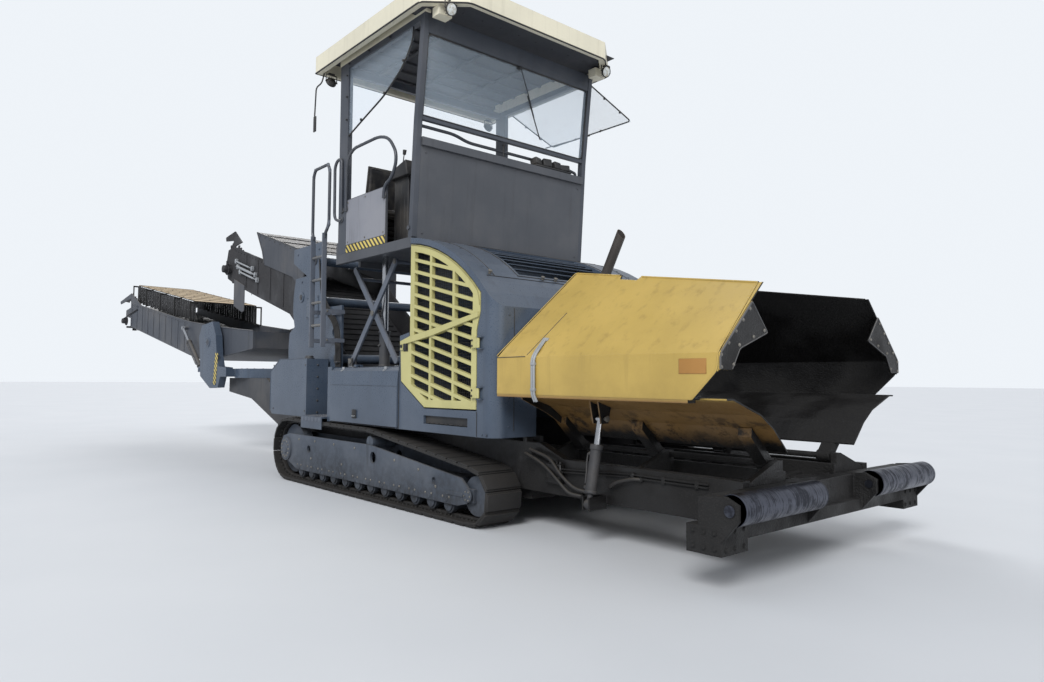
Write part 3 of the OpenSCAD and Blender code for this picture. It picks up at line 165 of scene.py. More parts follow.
weather, given, result = group("weather", Paint=rgb(90, 98, 112), Bare=rgb(60, 56, 54), Grime=rgb(38, 34, 31),
    Dust=rgb(150, 140, 124), Worn=0.6, Dusty=0.3, Grimy=0.35, Low=1.2, Gloss=0.36)
tree = weather
place = add(tree, "TexCoord", out="Object")
fine = noise(tree, place, 70.0, 6.0, 0.62)
broad = noise(tree, place, 1.4, 5.0, 0.6)
spots = noise(tree, place, 16.0, 9.0, 0.72)
drawn = add(tree, "Mapping", {"Vector": place, "Scale": (11.0, 11.0, 0.55)})
streaks = share_of(tree, noise(tree, drawn, 1.0, 6.0, 0.65), 0.50, 0.74)
height = add(tree, "SeparateXYZ", {0: place}, 2)
upward = share_of(tree, add(tree, "SeparateXYZ", {0: add(tree, "TexCoord", out="Normal")}, 2), 0.25, 0.95)
low_line, high_line = sum_of(tree, given["Low"], 0.75), sum_of(tree, given["Low"], -0.25)
lowness = share_of(tree, sum_of(tree, height, times(tree, broad, 0.9)), low_line, high_line)
soft_edge = add(tree, "Bevel", {"Radius": 0.009}, samples=4)
true_face = add(tree, "NewGeometry", out="Normal")
sharp = add(tree, "VectorMath", {0: soft_edge, 1: true_face}, "Value", operation="DOT_PRODUCT")
edge = share_of(tree, sharp, 0.985, 0.82)
worn = times(tree, times(tree, edge, share_of(tree, spots, 0.40, 0.58)), given["Worn"], True)
chipped = times(tree, given["Worn"], sum_of(tree, lowness, 0.25))
bare = larger(tree, worn, times(tree, share_of(tree, spots, 0.665, 0.69), chipped, True))
greasy = times(tree, lowness, share_of(tree, spots, 0.30, 0.62, 0.45, 1.0))
dirt = times(tree, larger(tree, times(tree, streaks, 0.55), greasy), given["Grimy"], True)
drift = sum_of(tree, times(tree, upward, 0.85), share_of(tree, broad, 0.40, 0.70, 0.0, 0.45))
powder = times(tree, drift, given["Dusty"], True)
powder = times(tree, powder, share_of(tree, fine, 0.30, 0.60, 0.55, 1.0))
fading = share_of(tree, broad, 0.30, 0.70, 0.90, 1.06)
tone = add(tree, "VectorMath", {0: given["Paint"], "Scale": fading}, operation="SCALE")
colour = mixed(tree, times(tree, powder, 0.9), tone, given["Dust"])
colour = mixed(tree, dirt, colour, given["Grime"])
tree.links.new(mixed(tree, bare, colour, given["Bare"]), result["Colour"])
rough = sum_of(tree, sum_of(tree, given["Gloss"], times(tree, powder, 0.4)), times(tree, dirt, 0.28))
rough = sum_of(tree, rough, share_of(tree, fine, 0.2, 0.8, -0.05, 0.07), "ADD", True)
tree.links.new(rough, result["Roughness"])
relief = sum_of(tree, times(tree, fine, 0.5), times(tree, times(tree, dirt, spots), 1.2))
relief = sum_of(tree, relief, times(tree, bare, -0.5))
bump = add(tree, "Bump", {"Strength": 0.32, "Distance": 0.0022, "Height": relief, "Normal": soft_edge})
tree.links.new(bump, result["Normal"])
finish = {"Colour": "Base Color", "Roughness": "Roughness", "Normal": "Normal"}


def shaded(name, source, values=(), metal=0.0, specular=0.5):
    """A material whose colour, roughness and normal come from a group."""
    made, tree, shader = blank(name)
    effect = tree.nodes.new("ShaderNodeGroup")
    effect.node_tree = source
    for key, value in dict(values).items():
        effect.inputs[key].default_value = value
    for label, socket in finish.items():
        tree.links.new(effect.outputs[label], shader.inputs[socket])
    shader.inputs["Metallic"].default_value = metal
    shader.inputs["Specular IOR Level"].default_value = specular
    return made


def painted(name, paint, **values):
    """Weathered paint; colours are written as they look on screen."""
    values = {key.capitalize(): rgb(*value) if isinstance(value, tuple) else value for key, value in values.items()}
    return shaded(name, weather, {"Paint": rgb(*paint), **values}, specular=0.45)


def coat(material, *names):
    for name in names:
        for slot in nodes[name].material_slots:
            slot.material = material


slate = painted("slate_paint", (70, 82, 98), worn=0.4, dusty=0.13, grimy=0.42, low=0.95, gloss=0.28)
steel_dark = painted("dark_paint", (52, 55, 61), worn=0.6, dusty=0.35, grimy=0.5, low=1.1, gloss=0.45,
    bare=(112, 106, 98))
wall_grey = painted("wall_paint", (74, 77, 83), worn=0.3, dusty=0.14, grimy=0.35, low=1.0, gloss=0.5)
post_grey = painted("post_paint", (64, 69, 78), worn=0.5, dusty=0.16, grimy=0.35, low=1.0, gloss=0.42)
dusty_grey = painted("dusty_grey_paint", (92, 99, 111), worn=0.55, dusty=0.30, grimy=0.5, low=0.6, gloss=0.48)
track_grey = painted("track_frame_paint", (72, 81, 94), worn=0.5, dusty=0.26, grimy=0.95, low=0.52, gloss=0.5,
    grime=(30, 28, 27))
lemon = painted("lemon_paint", (186, 180, 122), worn=0.3, dusty=0.10, grimy=0.30, low=1.1, gloss=0.36,
    grime=(96, 88, 56), bare=(96, 90, 64))
cream = painted("cream_paint", (222, 216, 194), worn=0.35, dusty=0.22, grimy=0.30, low=1.0, gloss=0.4,
    grime=(120, 112, 98), bare=(110, 106, 98))
coat(slate, "engine_body", "side_cover_right", "side_cover_left", "side_tank_right", "side_tank_left",
    "rear_tower", "swivel_yoke")
coat(steel_dark, "exhaust_pipe", "wing_barrel_right", "wing_barrel_left", "lift_barrels", "luff_barrels",
    "engine_block", "handrails")
coat(wall_grey, "platform_floor")
coat(post_grey, "cab_frame")
coat(track_grey, "track_frame_right", "track_frame_left")
coat(dusty_grey, "scissor_a", "scissor_b", "ladder")
coat(lemon, "grille_door_right", "grille_door_left")
coat(cream, "cab_roof")


# ---- Asphalt coat: what the hot mix leaves on the hopper, the push beam and the shoes ---------
# Asphalt sticks to every plate that the mix touches and is seldom scraped off: a black, lumpy
# crust, dull where it is dry and a little glossy where the binder shows.
crust, given, result = group("asphalt_crust", Crust=rgb(20, 19, 19), Stone=rgb(48, 46, 44), Lumps=1.0, Gloss=0.55)
tree = crust
place = add(tree, "TexCoord", out="Object")
lump = noise(tree, place, 9.0, 8.0, 0.65)
stone = add(tree, "TexVoronoi", {"Vector": place, "Scale": 85.0, "Randomness": 1.0}, "Distance")
patch = noise(tree, place, 1.8, 5.0)
pale = times(tree, share_of(tree, stone, 0.42, 0.15), share_of(tree, patch, 0.42, 0.66, 0.05, 0.55))
tree.links.new(mixed(tree, pale, given["Crust"], given["Stone"]), result["Colour"])
dull = share_of(tree, patch, 0.35, 0.6, -0.18, 0.3)
tree.links.new(sum_of(tree, given["Gloss"], dull, "ADD", True), result["Roughness"])
relief = times(tree, sum_of(tree, lump, times(tree, stone, -0.35)), given["Lumps"])
bump = add(tree, "Bump", {"Strength": 0.75, "Distance": 0.012, "Height": relief,
    "Normal": add(tree, "Bevel", {"Radius": 0.012}, samples=4)})
tree.links.new(bump, result["Normal"])
crusted = shaded("asphalt_coat", crust)
coat(crusted, "hopper_floor", "push_beam", "track_right", "track_left")


# ---- Bright and rubber surfaces: push rollers, cylinder rods, belts, glass, seats' shells -----
# Rollers are turned steel, scored round by tyres and grit; rods are chromed; belts are dull rubber.
turned, given, result = group("turned_steel", Steel=rgb(128, 130, 134), Stain=rgb(44, 42, 41), Stained=0.6,
    Gloss=0.30)
tree = turned
place = add(tree, "TexCoord", out="Object")
rings = noise(tree, add(tree, "Mapping", {"Vector": place, "Scale": (3.0, 60.0, 3.0)}), 1.0, 8.0, 0.7)
blot = noise(tree, place, 7.0, 7.0, 0.7)
stain = times(tree, share_of(tree, sum_of(tree, rings, blot), 0.92, 1.12), given["Stained"], True)
tree.links.new(mixed(tree, stain, given["Steel"], given["Stain"]), result["Colour"])
tree.links.new(sum_of(tree, given["Gloss"], times(tree, stain, 0.4), "ADD", True), result["Roughness"])
bump = add(tree, "Bump", {"Strength": 0.35, "Distance": 0.002, "Height": sum_of(tree, rings, stain)})
tree.links.new(bump, result["Normal"])
roller_steel = shaded("roller_steel", turned,
    {"Steel": rgb(92, 95, 106), "Stain": rgb(40, 41, 46), "Stained": 0.75}, metal=1.0)
chrome = shaded("rod_chrome", turned, {"Steel": rgb(190, 192, 196), "Stained": 0.25, "Gloss": 0.16}, metal=1.0)
coat(roller_steel, "push_roller_right", "push_roller_left")
coat(chrome, "wing_rod_right", "wing_rod_left", "lift_rods", "luff_rods")
belt_rubber = shaded("belt_rubber", crust,
    {"Crust": rgb(34, 34, 36), "Stone": rgb(92, 86, 80), "Lumps": 0.12, "Gloss": 0.7})
coat(belt_rubber, "main_belt", "boom_belt")
plastic = painted("black_plastic", (34, 35, 38), worn=0.1, dusty=0.35, grimy=0.1, gloss=0.5)
coat(plastic, "seats")

glass, tree, shader = blank("window_glass")
place = add(tree, "TexCoord", out="Object")
smear = noise(tree, add(tree, "Mapping", {"Vector": place, "Scale": (2.0, 2.0, 5.0)}), 2.2, 7.0, 0.68)
speck = noise(tree, place, 120.0, 3.0)
smears, specks = share_of(tree, smear, 0.50, 0.85, 0.0, 0.35), share_of(tree, speck, 0.66, 0.72, 0.0, 0.5)
film = sum_of(tree, smears, specks, "ADD", True)
tree.links.new(mixed(tree, film, (0.62, 0.74, 0.86, 1), rgb(196, 190, 178)), shader.inputs["Base Color"])
tree.links.new(share_of(tree, film, 0.0, 1.0, 0.02, 0.35), shader.inputs["Roughness"])
tree.links.new(share_of(tree, film, 0.0, 1.0, 0.15, 0.42), shader.inputs["Alpha"])
shader.inputs["IOR"].default_value = 1.45
coat(glass, "cab_glass")


# ---- Track shoes: forged links with a bolted rubber-faced pad, 58 to a side ------------------
# The pads lie end to end round the sprocket, the carrier roller and the idler, as one fixed loop.
# The functions here place and finish any piece: at() turns a station, a width from the centre
# line and a height, all in millimetres, into the frame's metres.
both_sides = (("right", -1), ("left", 1))
track_middle = 1180


def at(station, width, height):
    return Vector((8.25 - station / 1000, (width - 315) / 1000, height / 1000))


def turn(axis, degrees):
    return Matrix.Rotation(math.radians(degrees), 4, axis)


def edges_of(verts):
    """Each edge at these points, once."""
    return list(dict.fromkeys(e for v in verts for e in v.link_edges))


def rounded_off(bm, edges, by, steps):
    """Rounds edges by a radius in metres."""
    return bmesh.ops.bevel(bm, geom=list(edges), offset=by, offset_type="OFFSET", segments=steps, profile=0.5,
        affect="EDGES", material=-1, clamp_overlap=True)["verts"]


def brick(bm, s0, s1, y0, y1, z0, z1, round_by=0.0, steps=1):
    """A block between two stations, widths and heights, with its edges rounded."""
    low, high = at(s1, min(y0, y1), z0), at(s0, max(y0, y1), z1)
    fit = Matrix.Translation((low + high) / 2) @ Matrix.Diagonal((high - low).to_4d())
    made = bmesh.ops.create_cube(bm, size=1, matrix=fit)["verts"]
    if round_by:
        made = rounded_off(bm, edges_of(made), round_by / 1000, steps)
    return made


def turned_bar(bm, a, b, radius, end_radius=None, sides=16, chamfer=0.0):
    """A round bar or cone between two points in metres; the radii are in millimetres."""
    way, middle = b - a, (a + b) / 2
    fit = Matrix.Translation(middle) @ way.to_track_quat("Z", "Y").to_matrix().to_4x4()
    end_radius = radius if end_radius is None else end_radius
    made = bmesh.ops.create_cone(bm, cap_ends=True, segments=sides, radius1=radius / 1000,
        radius2=end_radius / 1000, depth=way.length, matrix=fit)["verts"]
    if chamfer:
        def on_end(v):
            return abs(abs((v.co - middle).dot(way.normalized())) - way.length / 2) < 1e-5

        rims = [e for e in edges_of(made)
            if all(map(on_end, e.verts)) and abs((e.verts[0].co - e.verts[1].co).dot(way)) < 1e-6]
        bmesh.ops.bevel(bm, geom=rims, offset=chamfer / 1000, offset_type="OFFSET", segments=2, profile=0.5,
            affect="EDGES", material=-1)


def stub(bm, s, z, y0, y1, *sizes, **more):
    """A round bar straight across the machine."""
    turned_bar(bm, at(s, y0, z), at(s, y1, z), *sizes, **more)


def moved(bm, verts, fit):
    bmesh.ops.transform(bm, matrix=fit, verts=[v for v in verts if v.is_valid])


def piece(name, bm, material, body, angle=38):
    bmesh.ops.recalc_face_normals(bm, faces=bm.faces)
    mesh = bpy.data.meshes.new(name)
    bm.to_mesh(mesh)
    bm.free()
    for face in mesh.polygons:
        face.use_smooth = True
    mesh.set_sharp_from_angle(angle=math.radians(angle))
    mesh.materials.append(material)
    made = bpy.data.objects.new(name, mesh)
    show(made)
    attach(made, body)
    return made


# Sprocket, idler and carrier roller: place along, height and radius of the belt of links
wheels = ((-6720, 400, 360), (-2730, 270, 230), (-4620, 620, 120))
runs = []
for k in range(3):
    (ax, az, ar), (bx, bz, br) = wheels[k], wheels[(k + 1) % 3]
    far = math.hypot(bx - ax, bz - az)
    runs.append((math.atan2(bz - az, bx - ax) - math.acos((ar - br) / far), math.sqrt(far * far - (ar - br) ** 2)))
legs = []
for k in range(3):
    swing = (runs[(k + 1) % 3][0] - runs[k][0]) % (2 * math.pi)
    legs += [(runs[k][1], k, 0.0), (swing * wheels[(k + 1) % 3][2], k, 1.0)]
shoe_count = 58
pitch_of_shoes = sum(leg[0] for leg in legs) / shoe_count


def on_loop(t):
    """Point (along, height) at that length of the track's loop."""
    for length, k, bend in legs:
        if t > length:
            t -= length
            continue
        x, z, r = wheels[(k + 1) % 3] if bend else wheels[k]
        angle = runs[k][0] + (t / r if bend else 0)
        slide = 0 if bend else t
        return x + r * math.cos(angle) - slide * math.sin(angle), z + r * math.sin(angle) + slide * math.cos(angle)


pad_rubber = painted("track_pad", (30, 30, 31), worn=0.35, dusty=0.16, grimy=0.5, low=0.5, gloss=0.62,
    bare=(78, 76, 72), dust=(86, 78, 68))
shoe = bmesh.new()
half = pitch_of_shoes / 2
# Drawn about the frame's own zero: along the loop is X, outward is Z, in millimetres through at().
brick(shoe, -half * 0.985, half * 0.985, -200, 200, 1, 22, 3)
brick(shoe, -half * 0.86, half * 0.86, -196, 196, 20, 40, 7, 2)
for y in (-78, 78):
    brick(shoe, -half * 1.02, half * 0.9, y - 26, y + 26, -30, 3, 5)
    stub(shoe, half * 0.96, -14, y - 34, y + 34, 11, sides=10)
    for s in (-34, 34):
        for w in (y - 44, y + 44):
            turned_bar(shoe, at(s, w, -12), at(s, w, 1), 12, sides=6)
shoe_mesh = bpy.data.meshes.new("one_shoe")
for v in shoe.verts:
    v.co -= at(0, 0, 0)
shoe.to_mesh(shoe_mesh)
shoe.free()
for side, way in both_sides:
    track = bmesh.new()
    for k in range(shoe_count):
        # Each shoe is straight between its two link pins, which lie on the loop
        (ax, az), (bx, bz) = on_loop(k * pitch_of_shoes), on_loop((k + 1) % shoe_count * pitch_of_shoes)
        angle = math.atan2(bx - ax, az - bz) - math.pi
        before = len(track.verts)
        track.from_mesh(shoe_mesh)
        track.verts.ensure_lookup_table()
        place = Matrix.Translation(at(-(ax + bx) / 2, way * track_middle, (az + bz) / 2))
        moved(track, track.verts[before:], place @ Matrix.Rotation(math.pi / 2 - angle, 4, "Y"))
    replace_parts(piece(f"track_shoes_{side}", track, pad_rubber, "chassis"), f"track_{side}")
bpy.data.meshes.remove(shoe_mesh)


# ---- Track frame fittings: hubs, bolts, sprocket teeth and roller caps -----------------------
# Cast and machined steel under old grey paint; the hubs' bolts are bright where keys turn them.
bolt_steel = painted("bolt_steel", (96, 94, 90), worn=0.8, dusty=0.45, grimy=0.35, low=0.6, gloss=0.4,
    bare=(150, 146, 138))


def bolt(bm, place, toward, radius=11, head=9):
    """A hexagon head with its washer, standing on a face."""
    toward = Vector(toward).normalized()
    turned_bar(bm, place - toward * 0.002, place + toward * 0.003, radius * 1.45, sides=14)
    turned_bar(bm, place, place + toward * head / 1000, radius, radius * 0.92, sides=6)


def bolt_row(bm, y, places, radius, head):
    """Bolts on a side face at these stations and heights, heads outward."""
    for s, z in places:
        bolt(bm, at(s, y, z), (0, math.copysign(1, y), 0), radius, head)


def corners_of(made):
    return [g for g in made["geom"] if isinstance(g, bmesh.types.BMVert)]


def round_places(count, radius, s=0, z=0):
    """Evenly spaced places on a circle."""
    return [(s + radius * math.cos(k * math.tau / count), z + radius * math.sin(k * math.tau / count))
        for k in range(count)]


sprocket, idler = (6720, 400), (2790, 270)
for side, way in both_sides:
    bolts, hubs = (bmesh.new() for _ in range(2))
    # Final drive cap on the sprocket's hub
    stub(hubs, *sprocket, way * 1370, way * 1379, 138, 134, 40, 3)
    stub(hubs, *sprocket, way * 1375, way * 1390, 66, 60, 28, 4)
    bolt_row(bolts, way * 1379, round_places(12, 104, *sprocket), 9, 8)
    # Idler cap and its guide
    stub(hubs, *idler, way * 1352, way * 1366, 62, 56, 28, 4)
    bolt_row(bolts, way * 1366, round_places(6, 42, *idler), 6, 6)
    brick(hubs, 2860, 3120, way * 1355, way * 1363, 250, 290, 3)
    # Caps of the bottom rollers, and the rows of bolts above them
    for k in range(12):
        s = 3130 + k * 3200 / 11
        stub(hubs, s, 196, way * 1352, way * 1360, 26, 22, 18, 2)
        bolt_row(bolts, way * 1355, ((s - 52, 226), (s + 52, 226)), 8, 7)
    bolt_row(bolts, way * 1355, ((3600, 430), (4050, 480), (4900, 540), (5400, 545), (5900, 545), (6350, 540),
        (3300, 300), (5200, 330), (6000, 330)), 10, 8)
    # Rims of the plate's holes and the grease fitting's slot
    for s, z, r in ((4490, 470, 62), (6070, 440, 45), (3330, 350, 35)):
        middle = at(s, way * 1357, z)
        ring = bmesh.ops.create_circle(hubs, segments=32, radius=r / 1000,
            matrix=Matrix.Translation(middle) @ turn("X", 90))["verts"]
        for v in corners_of(bmesh.ops.extrude_edge_only(hubs, edges=edges_of(ring))):
            v.co = middle + (v.co - middle) * (r + 9) / r
    # Sprocket teeth between the frame's plates
    for (s0, z0), (s1, z1) in zip(round_places(21, 286, *sprocket), round_places(21, 316, *sprocket)):
        turned_bar(hubs, at(s0, way * track_middle, z0), at(s1, way * track_middle, z1), 34, 20, sides=8)
    piece(f"track_hubs_{side}", hubs, track_grey, "chassis")
    piece(f"track_bolts_{side}", bolts, bolt_steel, "chassis")


# ---- Hopper wings: folded yellow plate, black inside with hot mix, steel flap in front --------
# Each wing is one bent plate on a hinge beside the hopper's floor. The paint is thin and oily near the
# bottom, and below the fold it is darkened by painted shade; the inner faces are never clean.
def over(tree, shader, covering, values, mask):
    """Lays a second finish over a painted material where the mask is 1."""
    effect = tree.nodes.new("ShaderNodeGroup")
    effect.node_tree = covering
    for key, value in values.items():
        effect.inputs[key].default_value = value
    # The mixing node has its own pair of inputs and its own output for each kind of value
    sockets = (("Colour", "RGBA", 6, 2), ("Roughness", "FLOAT", 2, 0), ("Normal", "VECTOR", 4, 1))
    for label, kind, first, out in sockets:
        socket = shader.inputs[finish[label]]
        below = socket.links[0].from_socket
        made = add(tree, "Mix", {0: mask, first: below, first + 1: effect.outputs[label]}, out, data_type=kind)
        tree.links.new(made, socket)


def parted(tree, out):
    """The three parts of a coordinate of the piece."""
    parts = tree.nodes.new("ShaderNodeSeparateXYZ")
    tree.links.new(add(tree, "TexCoord", out=out), parts.inputs[0])
    return parts.outputs


def paint_of(shader):
    return shader.inputs["Base Color"].links[0].from_node.inputs["Paint"]


wing_paint = {}
for side, way in both_sides:
    made = painted(f"wing_paint_{side}", (186, 158, 84), worn=0.12, dusty=0.08, grimy=0.42, low=1.20, gloss=0.30,
        grime=(64, 44, 26), bare=(92, 74, 44), dust=(176, 158, 118))
    tree = made.node_tree
    shader = tree.nodes["Principled BSDF"]
    facing, spot = parted(tree, "Normal"), parted(tree, "Object")
    inner = share_of(tree, times(tree, facing[1], -way), 0.03, 0.12)
    shelf = times(tree, share_of(tree, facing[2], 0.6, 0.8), share_of(tree, spot[2], 1.32, 1.28))
    front = share_of(tree, facing[0], 0.4, 0.6)
    blotch = noise(tree, add(tree, "TexCoord", out="Object"), 4.0, 7.0, 0.7)
    splash = times(tree, share_of(tree, blotch, 0.50, 0.62), share_of(tree, spot[2], 1.20, 0.90))
    ahead = times(tree, share_of(tree, facing[0], 0.25, 0.35), share_of(tree, spot[2], 1.26, 1.16))
    arms = share_of(tree, sum_of(tree, spot[2], times(tree, blotch, 0.3)), 1.10, 0.98)
    splash = larger(tree, larger(tree, splash, ahead), arms)
    mask = larger(tree, larger(tree, inner, shelf), larger(tree, front, splash), True)
    # Below the fold the paint is darkened to brown: painted shade of the underside, with some bitumen staining
    paint = paint_of(shader)
    shade_and_bitumen_below_fold = share_of(tree, spot[2], 1.21, 1.17)
    tree.links.new(mixed(tree, shade_and_bitumen_below_fold, tuple(paint.default_value), rgb(138, 106, 62)), paint)
    over(tree, shader, crust, {"Lumps": 0.8}, mask)
    coat(made, f"wing_{side}")
    wing_paint[side] = made

# The frame under the hopper is black with mix, like the beam in front of it
frame_paint = painted("frame_paint", (52, 55, 61), worn=0.6, dusty=0.3, grimy=0.7, low=1.1, gloss=0.45,
    bare=(104, 98, 92))
tree = frame_paint.node_tree
ragged = noise(tree, add(tree, "TexCoord", out="Object"), 3.0, 8.0, 0.7)
under_hopper = share_of(tree, sum_of(tree, parted(tree, "Object")[0], ragged), 5.9, 6.3)
over(tree, tree.nodes["Principled BSDF"], crust, {"Lumps": 0.5}, under_hopper)
coat(frame_paint, "main_frame")

flap_steel = painted("flap_steel", (70, 72, 77), worn=0.9, dusty=0.3, grimy=0.55, low=1.6, gloss=0.5,
    bare=(132, 128, 122))
strap_steel = painted("galvanised_strap", (150, 154, 158), worn=0.2, dusty=0.2, grimy=0.3, low=1.2, gloss=0.42,
    bare=(110, 108, 104))


def rounded(points, radius, steps=4):
    """The same route with each corner turned into an arc."""
    route = [points[0]]
    for a, b, c in zip(points, points[1:], points[2:]):
        u, v = (a - b), (c - b)
        cut = min(radius, u.length * 0.48, v.length * 0.48)
        p, q = b + u.normalized() * cut, b + v.normalized() * cut
        for k in range(steps + 1):
            t = k / steps
            route.append(p * (1 - t) ** 2 + b * 2 * t * (1 - t) + q * t * t)
    return route + [points[-1]]


def tube(bm, points, radius, bend=0.06, sides=4, ends=True):
    """A round tube along a route of points in metres, made from a curve's own round bevel."""
    line = bpy.data.curves.new("route", "CURVE")
    line.dimensions = "3D"
    line.bevel_depth = radius / 1000
    line.bevel_resolution = sides - 2
    line.use_fill_caps = ends
    spline = line.splines.new("POLY")
    route = rounded(points, bend) if len(points) > 2 else points
    spline.points.add(len(route) - 1)
    for point, place in zip(spline.points, route):
        point.co = (*place, 1)
    holder = bpy.data.objects.new("route", line)
    show(holder)
    bpy.context.view_layer.update()
    swept = bpy.data.meshes.new_from_object(holder.evaluated_get(bpy.context.evaluated_depsgraph_get()))
    bm.from_mesh(swept)
    bpy.data.objects.remove(holder)
    bpy.data.meshes.remove(swept)
    bpy.data.curves.remove(line)


def side_tube(bm, y, places, radius, **more):
    """A tube at one width, through these stations and heights."""
    tube(bm, [at(s, y, z) for s, z in places], radius, **more)


def set_down(bm, verts, place, *turns):
    """Moves a block drawn about station, width and height zero to its place, turned."""
    fit = Matrix.Translation(place)
    for one in turns:
        fit = fit @ one
    moved(bm, verts, fit @ Matrix.Translation(-at(0, 0, 0)))


def wall_at(station, height, out=0.0):
    """A point on the outer side of the wing's slanted wall, in the right wing's millimetres."""
    width = 1343 - (height - 1505) / 0.948
    return station, -(width + out * 0.688), height + out * 0.726


for side, way in (("right", 1), ("left", -1)):
    body = f"wing_{side}"

    def on_wing(s, y, z):
        return at(s, way * y, z)

    # Rolled rim along the top, the front and the rear edge of the wall
    rim = bmesh.new()
    for route in (((190, -816, 2004), (1380, -632, 2178)),
            ((1650, -590, 2218), (2284, -492, 2313), (2423, -1322, 1523)),
            ((196, -812, 2004), (166, -1336, 1508), (172, -1340, 1392), (366, -1341, 1200))):
        tube(rim, [on_wing(*p) for p in route], 9, bend=0.03)
    piece(f"wing_rim_{side}", rim, wing_paint[side], body)
    # Bent strap of two rods over the crease, and its clips
    strap = bmesh.new()
    for s, ds in ((1937, 0), (1958, 25)):
        route = (wall_at(s, 1655, 12), wall_at(1905 + ds, 1530, 16), (1903 + ds, -1361, 1490),
            (1900 + ds, -1361, 1196), (1880 + ds, -1345, 1140))
        tube(strap, [on_wing(*p) for p in route], 11, bend=0.04, sides=5)
    clip = brick(strap, -34, 34, -18, 18, -8, 8, 3)
    set_down(strap, clip, on_wing(*wall_at(1947, 1650, 4)), turn("X", way * 46.5))
    for z in (1450, 1240):
        brick(strap, 1892, 1936, way * -1374, way * -1342, z - 12, z + 12, 3)
    piece(f"wing_strap_{side}", strap, strap_steel, body)
    # Joint of the rear corner plate: a narrow dark line
    seam = bmesh.new()
    tube(seam, [on_wing(*wall_at(1957, 1894, 1)), on_wing(*wall_at(2031, 1525, 1))], 3)
    tube(seam, [on_wing(2031, -1344, 1512), on_wing(2398, -1344, 1508)], 3)
    piece(f"wing_seam_{side}", seam, steel_dark, body)
    # Wear flap: its rolled edges, and bolts along its outer edge and its clamping bar
    flap, bolts = (bmesh.new() for _ in range(2))
    for y, z in ((1326, 1412), (1326, 1492), (1242, 1570), (1158, 1650), (1074, 1729), (990, 1808),
            (1190, 1430), (1120, 1560), (950, 1620), (815, 1668)):
        bolt(bolts, at(149, way * -y, z), (1, 0, 0), 9, 8)
    tube(flap, [at(150, way * y, z) for y, z in ((-1336, 1400), (-1336, 1500), (-963, 1854))], 7, bend=0.03)
    tube(flap, [at(150, way * y, z) for y, z in ((-958, 1856), (-774, 1656), (-1112, 1538), (-1203, 1400))], 5,
        bend=0.02)
    piece(f"wing_flap_edge_{side}", flap, flap_steel, body)
    # Hinge bolts below the wing, and the cylinder's pin
    for s in (375, 1365, 2245):
        for y, z in ((560, 858), (610, 902), (662, 948)):
            for ds in (-40, 40):
                bolt(bolts, on_wing(s + ds, -(y + 6), z - 6), (0, way * -0.68, -0.73), 8, 7)
    piece(f"wing_bolts_{side}", bolts, bolt_steel, body)
    pin = bmesh.new()
    for s0, s1, r in ((1466, 1614, 17), (1457, 1467, 26), (1613, 1623, 26)):
        turned_bar(pin, on_wing(s0, -960, 1010), on_wing(s1, -960, 1010), r, sides=20, chamfer=2)
    piece(f"wing_pin_{side}", pin, bolt_steel, body)
    plate = bmesh.new()
    brick(plate, 250, 470, way * -1346, way * -1342, 1368, 1470, 1.5)
    plate_paint = painted(f"plate_paint_{side}", (172, 124, 62), worn=0.3, dusty=0.2, grimy=0.4, low=1.3, gloss=0.4)
    piece(f"blank_plate_{side}", plate, plate_paint, body)


# ---- Wing cylinders: glands, hose ports and the hose along the barrel -------------------------
# Forged barrels with a screwed gland; a hose runs between each barrel's two ports.
foot, eye = Vector((0, -1090, 335)), Vector((0, -960, 1010))
axis = (eye - foot).normalized()
for side, way in (("right", 1), ("left", -1)):
    def on_barrel(along, aside=0):
        """A point so far from the cylinder's foot and beside its axis, in millimetres."""
        spot = foot + axis * along
        return at(1540 + aside, way * spot.y, spot.z)

    parts = bmesh.new()
    for a, b, r in ((430, 474, 53), (86, 108, 52)):
        turned_bar(parts, on_barrel(a), on_barrel(b), r, sides=28, chamfer=4)
    for along in (130, 400):
        turned_bar(parts, on_barrel(along, 30), on_barrel(along, 66), 15, sides=6)
        turned_bar(parts, on_barrel(along, 60), on_barrel(along, 74), 11, sides=12)
    tube(parts, [on_barrel(*p) for p in ((400, 64), (400, 84), (330, 84), (240, 72), (160, 70))], 7, bend=0.03)
    piece(f"cylinder_fittings_{side}", parts, steel_dark, f"wing_barrel_{side}")


